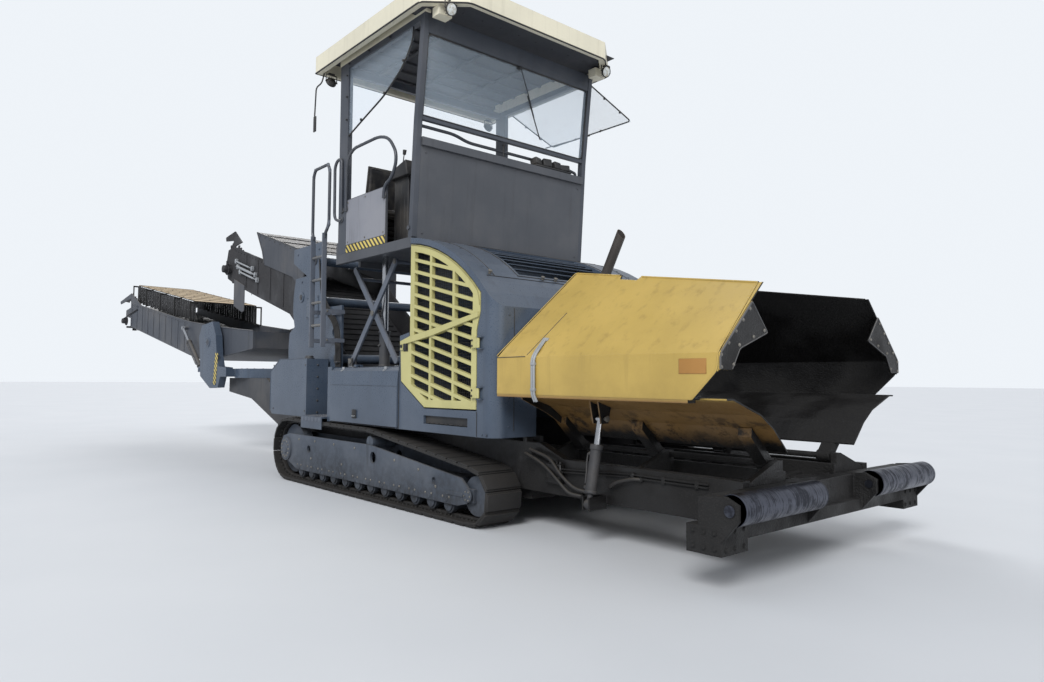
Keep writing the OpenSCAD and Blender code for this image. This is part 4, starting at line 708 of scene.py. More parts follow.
# ---- Hopper floor and side beams under the wings: chain, hoses and bolts ----------------------
# The slatted chain drags the mix to the rear; hoses and a valve block hang behind the side beams.
rubber_hose = painted("hydraulic_hose", (26, 26, 28), worn=0.1, dusty=0.15, grimy=0.2, low=0.5, gloss=0.5)
chain, hoses, fittings = (bmesh.new() for _ in range(3))
for way in (1, -1):
    for y, top in ((-395, 576), (-40, 580)):
        for k in range(38):
            s = 290 + k * 55
            brick(chain, s, s + 44, way * (y - 12), way * (y + 12), 562, top, 3)
    for route in (((2380, -975, 700), (2100, -985, 640), (1960, -1010, 520), (1800, -1000, 420), (1690, -960, 400),
                (1690, -936, 400)),
            ((2440, -975, 660), (2200, -985, 590), (1990, -1010, 470), (1860, -1000, 370), (1760, -960, 360),
                (1760, -936, 360)),
            ((1440, -936, 470), (1430, -975, 470), (1350, -985, 520), (1200, -975, 560), (1130, -936, 560))):
        tube(hoses, [at(s, way * y, z) for s, y, z in route], 14, bend=0.12, sides=5)
        s, _, z = route[-1]
        stub(fittings, s, z, way * -930, way * -952, 20, sides=6)
    # Valve block with its plugs, and two lines clipped along the outer side of the beam
    brick(fittings, 1980, 2160, way * -985, way * -931, 430, 600, 6)
    for k in range(4):
        s = 2005 + k * 43
        turned_bar(fittings, at(s, way * -958, 600), at(s, way * -958, 622), 12, sides=6)
        stub(fittings, s, 480, way * -985, way * -997, 9, sides=10)
    for z, end in ((560, 590), (535, 566)):
        tube(fittings, [at(1980, way * -960, z), at(1300, way * -944, end), at(520, way * -944, end)], 8, bend=0.05)
    for s in (600, 900, 1200):
        brick(fittings, s, s + 30, way * -956, way * -930, 552, 604, 3)
piece("floor_chain", chain, crusted, "chassis")
piece("beam_hoses", hoses, rubber_hose, "chassis")
piece("beam_fittings", fittings, frame_paint, "chassis")


# ---- Push beam: bolts, stiffeners and roller end rings ----------------------------------------
# A welded beam that lorries push against; its steel is black with mix, its rollers are worn bright.
ribs, bolts = (bmesh.new() for _ in range(2))
for way in (1, -1):
    for y in (500, 760, 1020, 1280):
        brick(ribs, 107, 124, way * (y - 6), way * (y + 6), 424, 596, 2)
    for y in (1220, 1320, 1420):
        for z in (392, 285):
            bolt(bolts, at(60, way * y, z), (1, 0, 0), 12, 9)
    bolt_row(bolts, way * 1471, [(s, z) for s in (110, 190, 270) for z in (290, 385)], 12, 9)
piece("push_beam_ribs", ribs, crusted, "chassis")
piece("push_beam_bolts", bolts, crusted, "chassis")
for side, way in both_sides:
    rings = bmesh.new()
    for y in (441, 1433):
        stub(rings, 0, 537, way * (y - 7), way * (y + 7), 99.4, sides=48, chamfer=3)
    stub(rings, 0, 537, way * 1472, way * 1479, 38, sides=24, chamfer=3)
    piece(f"roller_rings_{side}", rings, roller_steel, f"push_roller_{side}")


# ---- Engine body: panel joints, lifting knobs, panel bolts and step strips --------------------
# The hood is a rolled sheet whose arc has its middle low in the body; its panels meet in narrow
# dark joints and are held down by round knobs.
hood_middle, hood_radius = 4057, 1975


def arc_z(s, radius=hood_radius):
    """Height of the hood's arc, or of another arc about the same middle."""
    return 797 + math.sqrt(radius ** 2 - (s - hood_middle) ** 2)


def over_hood(s, y, lift=0.0):
    return at(s, y, arc_z(s) + lift)


seams, knobs, bolts, strip = (bmesh.new() for _ in range(4))
tube(seams, [over_hood(2752, y) for y in (-1188, -600, 0, 600, 1188)], 4)
for way in (1, -1):
    tube(seams, [over_hood(s, way * 1092) for s in range(2756, 3830, 90)], 4)
    tube(seams, [over_hood(s, way * 780, 1) for s in range(2790, 3620, 90)], 5)
    for y, places in ((1092, ((2469, 860), (2469, 1400), (2469, 1960))), (1332, ((4022, 806), (4022, 1446))),
            (1331, ((2700, 806), (2700, 1030))), (1331, ((4100, 806), (5560, 806)))):
        side_tube(seams, way * y, places, 4)
    for y in (300, 474, 1140):
        foot = over_hood(2776, way * y, -1)
        neck = foot + Vector((0.010, 0, 0.022))
        turned_bar(knobs, foot, neck, 15, 12, 16, 1.5)
        turned_bar(knobs, neck, foot + Vector((0.016, 0, 0.036)), 23, 19, 20, 3)
    for s in range(2880, 3800, 180):
        bolt(bolts, over_hood(s, way * 1140), ((hood_middle - s) / hood_radius, 0, 0.8), 8, 5)
    bolt_row(bolts, way * 1330, [(s, 826 if s < 4000 else 808) for s in (2560, 2620, 4060, 4500, 5000, 5500)], 7, 5)
    for z in (900, 1150, 1400, 1650, 1900):
        bolt(bolts, at(2470, way * 1150, z), (1, 0, 0), 7, 5)
    for k in range(9):
        s = 2862 + k * 78
        brick(strip, s, s + 52, way * 1304, way * 1312, 884, 892, 2)
    brick(strip, 2842, 3558, way * 1299, way * 1303, 881, 959, 1)
for s in (2790, 3610):
    tube(seams, [over_hood(s, y, 1) for y in (-780, 0, 780)], 5)
piece("hood_seams", seams, plastic, "chassis")
piece("hood_knobs", knobs, bolt_steel, "chassis")
piece("body_bolts", bolts, slate, "chassis")
piece("step_strips", strip, plastic, "chassis")


# ---- Grille doors: wire mesh behind the bars, latch, hinge bolts and rubber edge --------------
# A cast-looking pale yellow door; black woven wire keeps dust out of the engine bay.
wire = painted("mesh_wire", (24, 25, 27), worn=0.2, dusty=0.6, grimy=0.4, gloss=0.6, dust=(98, 92, 82))


def mesh_reach(s):
    """Lowest and highest point of the mesh: its foot rises towards the rear."""
    return 1090 + max(0, s - 3550) * 0.58, arc_z(min(s, 3780), 1840)


for side, way in both_sides:
    body = f"grille_door_{side}"
    mesh_lines = bmesh.new()
    for k in range(36):
        s = 2760 + k * 31
        side_tube(mesh_lines, way * 1289, [(s, z) for z in mesh_reach(s)], 2.4, sides=3, ends=False)
    for k in range(44):
        z = 1096 + k * 33
        inside = [s for s in range(2756, 3860, 8) if mesh_reach(s)[0] < z < mesh_reach(s)[1]]
        if len(inside) > 4:
            side_tube(mesh_lines, way * 1286, ((inside[0], z), (inside[-1], z)), 2.4, sides=3, ends=False)
    piece(f"door_mesh_{side}", mesh_lines, wire, body)
    latch = bmesh.new()
    brick(latch, 3858, 3938, way * 1330, way * 1336, 1596, 1692, 4, 2)
    brick(latch, 3872, 3924, way * 1336, way * 1350, 1612, 1676, 5, 2)
    stub(latch, 3965, 1650, way * 1343, way * 1352, 19, 17, 18, 2)
    bolt_row(latch, way * 1357, [(2745, z) for z in (1170, 1220, 1620, 1670)], 7, 6)
    piece(f"door_latch_{side}", latch, plastic, body)
    edge = bmesh.new()
    form = [(3820, arc_z(3820) - 78), *((s, arc_z(s, 1898)) for s in range(3740, 2680, -105)), (2671, 1990)]
    side_tube(edge, way * 1331, form, 5)
    bead_paint = painted(f"door_bead_{side}", (150, 142, 84), worn=0.5, dusty=0.2, grimy=0.4, gloss=0.4)
    piece(f"door_edge_{side}", edge, bead_paint, body)


# ---- Exhaust: thin pipe with a slanted end, its clamp and its weld bead -----------------------
# A mild steel pipe, browned by heat towards its open end; it stands in place of the thicker solid.
exhaust_steel = painted("exhaust_steel", (62, 58, 56), worn=0.9, dusty=0.3, grimy=0.5, low=0.5, gloss=0.5,
    bare=(120, 84, 58))
foot, top = at(2840, 400, arc_z(2840) - 113), at(2515, 400, arc_z(2840) + 487)
along = (top - foot).normalized()
rear_way = (Vector((-1, 0, 0)) + along * along.x).normalized()


def skin(bm, rows):
    """Faces between closed rows of points, the last row joined to the first."""
    for a, b in zip(rows, rows[1:] + rows[:1]):
        for k in range(len(a)):
            bm.faces.new((a[k - 1], a[k], b[k], b[k - 1]))


pipe = bmesh.new()
skin(pipe, [[pipe.verts.new(end + (rear_way * c + Vector((0, d, 0))) * r + along * cut * c)
    for c, d in round_places(40, 1)]
    for r, end, cut in ((0.047, foot, 0), (0.052, foot, 0), (0.052, top, 0.030), (0.047, top, 0.030))])
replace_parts(piece("exhaust_tube", pipe, exhaust_steel, "chassis"), "exhaust_pipe")
rings = bmesh.new()
for t, wide, high in ((0.175, 0.076, 0.012), (0.30, 0.057, 0.030)):
    fit = Matrix.Translation(foot.lerp(top, t)) @ along.to_track_quat("Z", "Y").to_matrix().to_4x4()
    bmesh.ops.create_cone(rings, cap_ends=False, segments=36, radius1=wide, radius2=wide, depth=high, matrix=fit)
bmesh.ops.solidify(rings, geom=list(rings.faces), thickness=0.004)
for k in range(4):
    out = Matrix.Rotation(math.radians(45 + 90 * k), 3, along) @ along.orthogonal().normalized()
    bolt(rings, foot.lerp(top, 0.175) + out * 0.066 + along * 0.004, along, 7, 7)
piece("exhaust_rings", rings, exhaust_steel, "chassis")


# ---- Side covers: pressed fold, ring handle, hinges and toggle latches ------------------------
# Pressed doors over the battery bays; two bright hinges on top, a ring handle at the foot.
for side, way in both_sides:
    body = f"side_cover_{side}"
    fold, bright, plate = (bmesh.new() for _ in range(3))
    side_tube(fold, way * 1353, ((4034, 1240), (5526, 1240)), 3)
    piece(f"cover_folds_{side}", fold, slate, body)
    handle = ((4890, 1361, 900), (4890, 1378, 896), (4950, 1378, 896), (4950, 1361, 900))
    tube(bright, [at(s, way * y, z) for s, y, z in handle], 5, bend=0.012, sides=5)
    for s in (4235, 5255):
        brick(bright, s - 12, s + 52, way * 1165, way * 1235, 1449, 1454, 2)
        for ds in (0, 40):
            bolt(bright, at(s + ds, way * 1222, 1453), (0, 0, 1), 6, 6)
    for s in (4300, 5250):
        brick(bright, s, s + 46, way * 1306, way * 1322, 1414, 1446, 4, 2)
        toggle = ((6, 1318, 1420), (6, 1342, 1400), (40, 1342, 1400), (40, 1318, 1420))
        tube(bright, [at(s + ds, way * y, z) for ds, y, z in toggle], 5, bend=0.012)
    brick(plate, 4872, 4968, way * 1360, way * 1364, 872, 968, 4, 2)
    piece(f"cover_lock_{side}", plate, plastic, body)
    piece(f"cover_fittings_{side}", bright, strap_steel, body)


# ---- Side tanks: filler cap, bolts, panel joints and step treads ------------------------------
# Welded boxes over the rear of the tracks; the step ahead of them is punched plate.
for side, way in both_sides:
    parts, tread, joint = (bmesh.new() for _ in range(3))
    turned_bar(parts, at(6480, way * 1180, 1558), at(6480, way * 1180, 1576), 66, 66, 32, 3)
    turned_bar(parts, at(6480, way * 1180, 1574), at(6480, way * 1180, 1604), 54, 50, 12, 4)
    bolt_row(parts, way * 1330, [(s, z) for z in (900, 1480) for s in (6270, 7250)], 8, 6)
    for k in range(5):
        bolt(parts, at(6229, way * 1180, 880 + k * 150), (1, 0, 0), 9, 7)
    piece(f"tank_fittings_{side}", parts, steel_dark, "chassis")
    for i in range(11):
        for j in range(7):
            bmesh.ops.create_cone(tread, cap_ends=True, segments=10, radius1=0.015, radius2=0.010, depth=0.006,
                matrix=Matrix.Translation(at(5700 + i * 48, way * (1060 + j * 48), 853)))
    for k in range(6):
        s = 5690 + k * 92
        brick(tread, s, s + 60, way * 1388, way * 1394, 790, 838, 2)
    piece(f"step_tread_{side}", tread, dusty_grey, "chassis")
    side_tube(joint, way * 1331, ((6234, 1562), (7062, 1562), (7362, 1402), (7362, 882)), 4, bend=0.01)
    piece(f"tank_edge_{side}", joint, slate, "chassis")


# ---- Rear tower, scissor and ladder: bolts, pins, pads and hoses ------------------------------
# Flame-cut plates bolted to the chassis; greased pins with keeper plates; hoses tied in bundles.
tower, keepers, hoses, clips, base_pins, middle_pins, collars = (bmesh.new() for _ in range(7))
for way in (1, -1):
    bolt_row(tower, way * 1001, [(s, 960) for s in range(6290, 7200, 150)], 12, 9)
    bolt_row(tower, way * 1001, ((6060, 1200), (6060, 1500), (6060, 1800), (6700, 2300), (6900, 1900),
        (7100, 1500), (7150, 2640), (6640, 3040), (7300, 3040)), 11, 8)
    # Cover plate with its bolts, and the caps of the cross tubes
    brick(tower, 6620, 6980, way * 1001, way * 1008, 2120, 2420, 6, 2)
    bolt_row(tower, way * 1008, ((6640, 2140), (6960, 2140), (6640, 2400), (6960, 2400)), 8, 6)
    stub(tower, 7150, 2430, way * 1000, way * 1012, 74, 70, 32, 3)
    stub(keepers, 7150, 2430, way * 1012, way * 1018, 40, 38, 24, 2)
    for s, z in ((6080, 1560), (6750, 2900)):
        stub(keepers, s, z, way * 1000, way * 1010, 66, 64, 32, 2)
    for k in range(4):
        y = way * (1016 + 13 * k)
        tube(hoses, [at(5945 + 12 * k, y, 1030), at(5950 + 12 * k, y, 1700), at(6010 + 14 * k, y, 2010),
            at(6300 + 12 * k, y, 2230 - 14 * k), at(6520 + 8 * k, way * 1012, 2500), at(6600, way * 1012, 2900)],
            11, bend=0.16)
    for z in (1200, 1500, 1790):
        brick(clips, 5940, 6002, way * 1001, way * 1074, z, z + 26, 4)
    stub(base_pins, 5600, 1520, way * 1064, way * 1072, 34, 32, 24, 2)
    bolt(base_pins, at(5626, way * 1064, 1546), (0, way, 0), 6, 10)
    for s in (5480, 5636):
        bolt(base_pins, at(s, way * 1034, 1452), (0, 0, 1), 8, 6)
    for s, z, r in ((5115, 2080, 34), (4630, 2640, 32)):
        stub(middle_pins, s, z, way * 1039, way * 1050, r, r - 2, 24, 2)
    # Wiper ring and clamp of the platform's ram, each with a bore that leaves the rod free
    for low, high, bore, wide in ((1852, 1876, 46, 74), (1456, 1476, 60, 70)):
        skin(collars, [[collars.verts.new(at(s, y, z)) for s, y in round_places(36, r, 5060, way * 900)]
            for r, z in ((bore, low), (wide, low), (wide, high - 4), (wide - 4, high), (bore, high))])
    stub(collars, 5060, 1700, way * 962, way * 985, 13, sides=6)
piece("tower_plates", tower, slate, "chassis")
piece("tower_pins", keepers, steel_dark, "chassis")
piece("tower_hoses", hoses, rubber_hose, "chassis")
piece("hose_clips", clips, steel_dark, "chassis")
piece("scissor_base_pins", base_pins, bolt_steel, "chassis")
piece("scissor_pins", middle_pins, bolt_steel, "scissor_a")
piece("ram_collars", collars, steel_dark, "chassis")
rail_paint = painted("rail_paint", (66, 70, 78), worn=0.6, dusty=0.2, grimy=0.3, low=0.5, gloss=0.35,
    bare=(126, 120, 112))
loop = bmesh.new()
side_tube(loop, -1290, ((6200, 3060), (6200, 3105), (6220, 3150), (6220, 3880), (6170, 3960), (5820, 3960),
    (5770, 3880), (5770, 3200), (5880, 3090), (5880, 3050)), 19, bend=0.07, sides=6)
piece("ladder_loop", loop, rail_paint, "chassis")
treads = bmesh.new()
for z in (1970, 2255, 2540, 2825):
    for k in range(9):
        s = 5902 + k * 33
        turned_bar(treads, at(s, -1290, z), at(s + 14, -1290, z), 18, 18, 12, 1)
for s, toward in ((5869, 1), (6211, -1)):
    for z in (1785, 2145):
        bolt(treads, at(s, -1240, z), (toward, 0, 0), 8, 6)
piece("ladder_treads", treads, bolt_steel, "chassis")


# ---- Swivelling yoke: turntable bolts, pin covers, striped edge and cylinder fittings ---------
# Thick plates on a slewing ring, turned a little to the right; black and yellow stripes warn of
# the edge that swings out. The functions place things in the turned part's own directions.
rest_swivel = 4.5


def boom_at(l, y, z):
    """A point of the swivelling part: distance behind the swivel axis, width and height."""
    a = math.radians(rest_swivel)
    return Vector((-1.9 + (-l * math.cos(a) - y * math.sin(a)) / 1000,
        (-l * math.sin(a) + y * math.cos(a) - 315) / 1000, z / 1000))


def boom_plate(bm, l0, l1, y0, y1, z0, z1, round_by=2.0):
    y0, y1 = sorted((y0, y1))
    made = brick(bm, 0, l1 - l0, 0, y1 - y0, 0, z1 - z0, round_by)
    set_down(bm, made, boom_at(l0, y0, z0), turn("Z", rest_swivel))


def boom_stub(bm, l, z, y0, y1, *sizes, **more):
    turned_bar(bm, boom_at(l, y0, z), boom_at(l, y1, z), *sizes, **more)


def boom_bolts(bm, y, places, radius, head):
    for l, z in places:
        bolt(bm, boom_at(l, y, z), boom_at(0, math.copysign(1, y), 0) - boom_at(0, 0, 0), radius, head)


stripes = shaded("warning_stripes", weather, {"Worn": 0.5, "Dusty": 0.3, "Grimy": 0.4, "Low": 0.2, "Gloss": 0.4})
tree = stripes.node_tree
spot = parted(tree, "Object")
slant = times(tree, sum_of(tree, spot[0], spot[2]), 12.5)
striped = share_of(tree, add(tree, "Math", {0: slant}, operation="FRACT"), 0.49, 0.51)
tree.links.new(mixed(tree, striped, rgb(212, 190, 96), rgb(34, 34, 38)), paint_of(tree.nodes["Principled BSDF"]))

ring_bolts, caps = (bmesh.new() for _ in range(2))
for l, y in round_places(28, 730):
    # Those that the cheeks' feet would cover are set on the ring's other side
    covered = abs(y) >= 0.55 * 730 and l >= 0.1 * 730
    bolt(ring_bolts, boom_at(-l if covered else l, y, 1458), (0, 0, 1), 10, 8)
for way in (1, -1):
    boom_stub(caps, 1020, 1935, way * 900, way * 908, 92, 90, 40, 3)
    boom_bolts(caps, way * 908, round_places(6, 72, 1020, 1935), 7, 6)
    boom_stub(caps, 1440, 1450, way * 884, way * 892, 26, 24, 20, 2)
piece("turntable_bolts", ring_bolts, bolt_steel, "yoke")
piece("yoke_caps", caps, slate, "yoke")
for side, inner in (("right", -904), ("left", 900.5)):
    sheet = bmesh.new()
    made = brick(sheet, 0, 112, 0, 3.5, 0, 560, 1)
    set_down(sheet, made, boom_at(652, inner, 1170), turn("Z", rest_swivel), turn("Y", 8))
    piece(f"yoke_stripes_{side}", sheet, stripes, "yoke")
foot, eye = Vector((1440, 1450)), Vector((2340, 2250))
axis = (eye - foot).normalized()
fittings = bmesh.new()
for way in (1, -1):
    def on_luff(along, aside=0):
        """A point so far from the luffing cylinder's foot and beside its axis, in millimetres."""
        spot = foot + axis * along
        return boom_at(spot.x, way * (840 + aside), spot.y)

    turned_bar(fittings, on_luff(764), on_luff(806), 50, 48, 28, 4)
    turned_bar(fittings, on_luff(86), on_luff(106), 49, 49, 28, 3)
    tube(fittings, [on_luff(*p) for p in ((740, 36), (740, 66), (640, 66), (300, 60), (140, 60), (140, 40))], 8,
        bend=0.03)
piece("luff_fittings", fittings, steel_dark, "luff_barrels")


# ---- Operator's roof: gutter bead, dark lining, work lamps and aerial base --------------------
# A moulded cream shell with a rubber bead round its lower edge and a dark ribbed lining inside.
lining = painted("roof_lining", (58, 60, 66), worn=0.1, dusty=0.2, grimy=0.2, gloss=0.7)


def level_tube(bm, z, places, radius, **more):
    """A tube at one height, through these stations and widths."""
    tube(bm, [at(s, y, z) for s, y in places], radius, **more)


bead = bmesh.new()
level_tube(bead, 5128, ((5990, -1400), (3620, -1400), (3300, -1000), (3300, 1000), (3620, 1400), (5990, 1400),
    (5990, -1400)), 9, bend=0.05, sides=5)
piece("roof_bead", bead, plastic, "platform")
ribs = bmesh.new()
brick(ribs, 3420, 5900, -1300, 1300, 5262, 5270, 4)
for k in range(1, 9):
    brick(ribs, 3560 + k * 270, 3600 + k * 270, -1260, 1260, 5236, 5263, 8, 2)
for y in (-640, 0, 640):
    brick(ribs, 3800, 5800, y - 22, y + 22, 5228, 5263, 8, 2)
# Smooth header sheet in front of the windscreen, with its row of bolts
outline = ((3372, -950), (3372, 950), (3672, 1300), (3930, 1300), (3930, -1300), (3672, -1300))
sheet = ribs.faces.new([ribs.verts.new(at(s, y, 5152)) for s, y in outline])
bmesh.ops.translate(ribs, vec=(0, 0, 0.008), verts=corners_of(bmesh.ops.extrude_face_region(ribs, geom=[sheet])))
for y in range(-1120, 1200, 320):
    bolt(ribs, at(3560, y * 0.8, 5152), (0, 0, -1), 9, 6)
    bolt(ribs, at(3860, y, 5152), (0, 0, -1), 9, 6)
piece("roof_lining", ribs, lining, "platform")
crown = bmesh.new()
level_tube(crown, 5334, ((5950, -1360), (3640, -1360), (3345, -985), (3345, 985), (3640, 1360), (5950, 1360),
    (5950, -1360)), 8, sides=5)
for s in (3900, 4500, 5100, 5700):
    brick(crown, s, s + 36, -1160, 1160, 5380, 5392, 5, 2)
turned_bar(crown, at(5500, 700, 5392), at(5500, 700, 5393.5), 40, 36, 24)
piece("roof_beads", crown, cream, "platform")

lens, tree, shader = blank("lamp_lens")
place = add(tree, "TexCoord", out="Object")
flutes = add(tree, "TexWave", {"Vector": place, "Scale": 26.0, "Distortion": 0.4}, "Fac")
haze = noise(tree, place, 30.0, 5.0)
clouded = share_of(tree, haze, 0.45, 0.7)
tree.links.new(mixed(tree, clouded, rgb(214, 218, 216), rgb(176, 168, 148)), shader.inputs["Base Color"])
tree.links.new(share_of(tree, haze, 0.3, 0.7, 0.08, 0.3), shader.inputs["Roughness"])
tree.links.new(add(tree, "Bump", {"Strength": 0.4, "Distance": 0.003, "Height": flutes}), shader.inputs["Normal"])


def spun(bm, profile, size):
    """A form turned about Z from a profile of radii and heights."""
    points = [bm.verts.new((x * size, 0, z * size)) for x, z in profile]
    lines = [bm.edges.new(pair) for pair in zip(points, points[1:])]
    bmesh.ops.spin(bm, geom=points + lines, axis=(0, 0, 1), cent=(0, 0, 0), steps=28, angle=math.tau)
    bmesh.ops.remove_doubles(bm, verts=bm.verts, dist=0.0002)


def work_lamp(name, middle, toward, size=0.062):
    """A round work lamp: ribbed cup, lens and its stirrup."""
    fit = Matrix.Translation(middle) @ Vector(toward).normalized().to_track_quat("Z", "Y").to_matrix().to_4x4()
    cup = bmesh.new()
    spun(cup, ((0.30, -0.62), (0.62, -0.55), (0.86, -0.30), (1.0, 0.0), (1.06, 0.05), (1.06, 0.30), (0.98, 0.34),
        (0.94, 0.28), (0.90, 0.05), (0.60, -0.35), (0.0, -0.45)), size)
    fin = (Matrix.Translation((size * 0.82, 0, -size * 0.34)) @ turn("Y", -28)
        @ Matrix.Diagonal((size * 0.14, size * 0.05, size * 0.55, 1)))
    for k in range(12):
        bmesh.ops.create_cube(cup, size=1, matrix=turn("Z", 30 * k) @ fin)
    bmesh.ops.transform(cup, matrix=fit, verts=cup.verts)
    stirrup = ((-1.16, 0), (-1.16, 1.4), (1.16, 1.4), (1.16, 0))
    tube(cup, [middle + Vector((0, y, z)) * size for y, z in stirrup], 6, bend=0.012)
    for way in (1, -1):
        ear = Vector((0, way * size, 0))
        turned_bar(cup, middle + ear * 0.95, middle + ear * 1.28, 9, sides=6)
    piece(name + "_cup", cup, plastic, "platform")
    front = bmesh.new()
    spun(front, ((0.0, 0.40), (0.35, 0.385), (0.65, 0.34), (0.92, 0.25), (0.92, 0.20), (0.65, 0.28),
        (0.0, 0.34)), size)
    bmesh.ops.transform(front, matrix=fit, verts=front.verts)
    piece(name + "_lens", front, lens, "platform")


for side, way in both_sides:
    work_lamp(f"front_lamp_{side}", at(3428, way * 1150, 5060), (1, 0, -0.35))
    work_lamp(f"rear_lamp_{side}", at(5860, way * 1250, 5020), (-1, 0, -0.45))
boxes = bmesh.new()
for way in (1, -1):
    for s, y in ((3428, 1150), (5860, 1250)):
        brick(boxes, s - 14, s + 14, way * y - 40, way * y + 40, 5110, 5128, 3)
tube(boxes, [at(5905, -1325, 5128), at(5930, -1345, 5000), at(6000, -1384, 4960), at(6030, -1386, 4560)], 9,
    bend=0.05, sides=5)
brick(boxes, 5985, 6050, -1394, -1378, 4395, 4590, 6, 2)
piece("lamp_brackets", boxes, plastic, "platform")


# ---- Windows: rubber seals, clamping knobs, edge tubes and the wiper --------------------------
# Clear plastic panes; the swept side panes hang on knobs, the far pane is propped open on a tube.
def front_s(z):
    """Station of the front wall at this height; above the sill the windscreen leans back more."""
    return 3944 - ((z - 2796) * 0.0662 if z < 4035 else 82 + (z - 4035) * 0.1106)


def knob(bm, place, toward, radius=17):
    toward = Vector(toward).normalized()
    turned_bar(bm, place - toward * 0.010, place + toward * 0.010, radius * 0.45, sides=10)
    turned_bar(bm, place + toward * 0.008, place + toward * 0.024, radius, radius * 0.9, 14, 3)


seals = bmesh.new()
side_tube(seals, -1234, ((5400, 4226), (5060, 4336), (4600, 4476), (4250, 4656), (4110, 4776), (4000, 4926),
    (3990, 5050)), 10, bend=0.10)
for s, z in ((5070, 4333), (4548, 4496), (4154, 4738)):
    knob(seals, at(s, -1240, z), (0, -1, 0))
for s in (4427, 4891, 5372):
    knob(seals, at(s, -1251, 5092), (0, -1, 0), 15)
for z in (4420, 4700, 4960):
    knob(seals, at(5412, -1251, z), (0, -1, 0), 13)
# Bead of the windscreen and its wiper
corners = ((-1186, 4082), (1186, 4082), (1186, 4924), (-1186, 4924), (-1186, 4082))
tube(seals, [at(front_s(z) + 14, y, z) for y, z in corners], 9)
hub, tip = at(front_s(4905) - 2, 60, 4905), at(front_s(4400) + 6, 330, 4400)
turned_bar(seals, hub - Vector((0.03, 0, 0)), hub + Vector((0.022, 0, 0)), 22, 18, 18, 3)
arm = ((hub, 0.018), (hub.lerp(tip, 0.5), 0.022), (tip, 0.014))
tube(seals, [point + Vector((off, 0, 0)) for point, off in arm], 6, bend=0.1)
tube(seals, [tip + Vector((0.008, -0.10, 0.24)), tip + Vector((0.008, 0.10, -0.24))], 7)
# Swung-out pane on the left: tube round its free edges with knobs, and its stay
drop, reach = math.sin(math.radians(20)), math.cos(math.radians(20))


def on_pane(s, l):
    return at(s, 1305 + l * reach, 5090.1 - l * drop)


tube(seals, [on_pane(*p) for p in ((5395, 30), (5395, 864), (3866, 864), (3866, 30))], 9, bend=0.05, sides=5)
for p in ((5395, 300), (5395, 620), (4900, 850), (4400, 850), (3866, 640), (3866, 320)):
    knob(seals, on_pane(*p), (0, -drop, -reach), 15)
tube(seals, [on_pane(4620, 860) - Vector((0, 0, 0.016)), at(4620, 1262, 4420)], 8, sides=5)
piece("window_seals", seals, plastic, "platform")


# ---- Platform: smooth guard tubes, side panels with a striped foot, dashboard and consoles ----
# The hoops are one bent tube each with welded feet; stripes mark the edge of the step.
rails = bmesh.new()
for way in (1, -1):
    side_tube(rails, way * 1267.4, ((4510, 3300), (4490, 3440), (4330, 3500), (4250, 3650), (4260, 3770),
        (4400, 3950), (4620, 4020), (5200, 4020), (5330, 3950), (5380, 3820), (5380, 3300)), 18, bend=0.11, sides=6)
    side_tube(rails, way * 1267.4, ((5500, 3200), (5672, 3250), (5680, 3900), (5610, 3970), (5504, 3960),
        (5490, 3300)), 18, bend=0.08, sides=6)
    for s, z in ((4506, 3330), (5380, 3330), (5502, 3225), (5494, 3330)):
        stub(rails, s, z, way * 1252, way * 1258, 34, sides=20)
        stub(rails, s, z, way * 1257, way * 1270, 13, sides=6)
# Each point of the rail over the dashboard: the wall's height it stands off, how far, width, height
rail_route = ((3950, 96, -1210, 3950), (4020, 120, -1160, 4010), (4020, 120, -700, 4010), (3960, 120, -500, 3960),
    (3960, 120, 1000, 3960), (3960, 100, 1170, 3920), (3960, 100, 1170, 3862))
tube(rails, [at(front_s(wall) + off, y, z) for wall, off, y, z in rail_route], 18, bend=0.08, sides=6)
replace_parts(piece("guard_tubes", rails, rail_paint, "platform"), "handrails")

pale_grey = painted("panel_paint", (132, 134, 142), worn=0.4, dusty=0.25, grimy=0.35, low=0.5, gloss=0.45)
for side, way in both_sides:
    sheet, foot_strip, bolts = (bmesh.new() for _ in range(3))
    brick(sheet, 4486, 5394, way * 1250.5, way * 1254, 2896, 3434, 3)
    brick(foot_strip, 4486, 5394, way * 1250.5, way * 1255, 2802, 2892, 2)
    bolt_row(bolts, way * 1254, [(s, z) for s in (4530, 4940, 5350) for z in (2930, 3400)], 8, 5)
    piece(f"side_sheet_{side}", sheet, pale_grey, "platform")
    piece(f"foot_stripes_{side}", foot_strip, stripes, "platform")
    piece(f"panel_bolts_{side}", bolts, bolt_steel, "platform")

wall = bmesh.new()
for y in (-1130, 1130):
    for z in (2850, 3700):
        bolt(wall, at(front_s(z), y, z), (1, 0, 0.06), 8, 5)
level_tube(wall, 3758, [(front_s(3758) - 2, y) for y in (-1186, 1186)], 5)
for way in (1, -1):
    stub(wall, 4010, 2900, way * 1252, way * 1260, 26, sides=6)
piece("front_wall_fittings", wall, wall_grey, "platform")

# Boxes and a lever on the dashboard's ledge, each box turned its own way
ledge = bmesh.new()
brick(ledge, 3868, 3990, 420, 1010, 3862, 3884, 6, 2)
for y, high, degrees in ((480, 86, 18), (640, 100, -10), (800, 92, 8), (940, 78, -22)):
    made = brick(ledge, -50, 50, -62, 62, 0, high, 14, 3)
    set_down(ledge, made, at(3930, y, 3884), turn("Z", degrees), turn("Y", -12))
tube(ledge, [at(3990, 460, 3890), at(4040, 520, 3930), at(4010, 700, 3990), at(3990, 860, 3900)], 9, bend=0.08)
turned_bar(ledge, at(3900, -60, 3858), at(3900, -60, 3990), 7, sides=10)
knob(ledge, at(3900, -60, 3990), (0, 0, 1), 16)
piece("dash_devices", ledge, plastic, "platform")

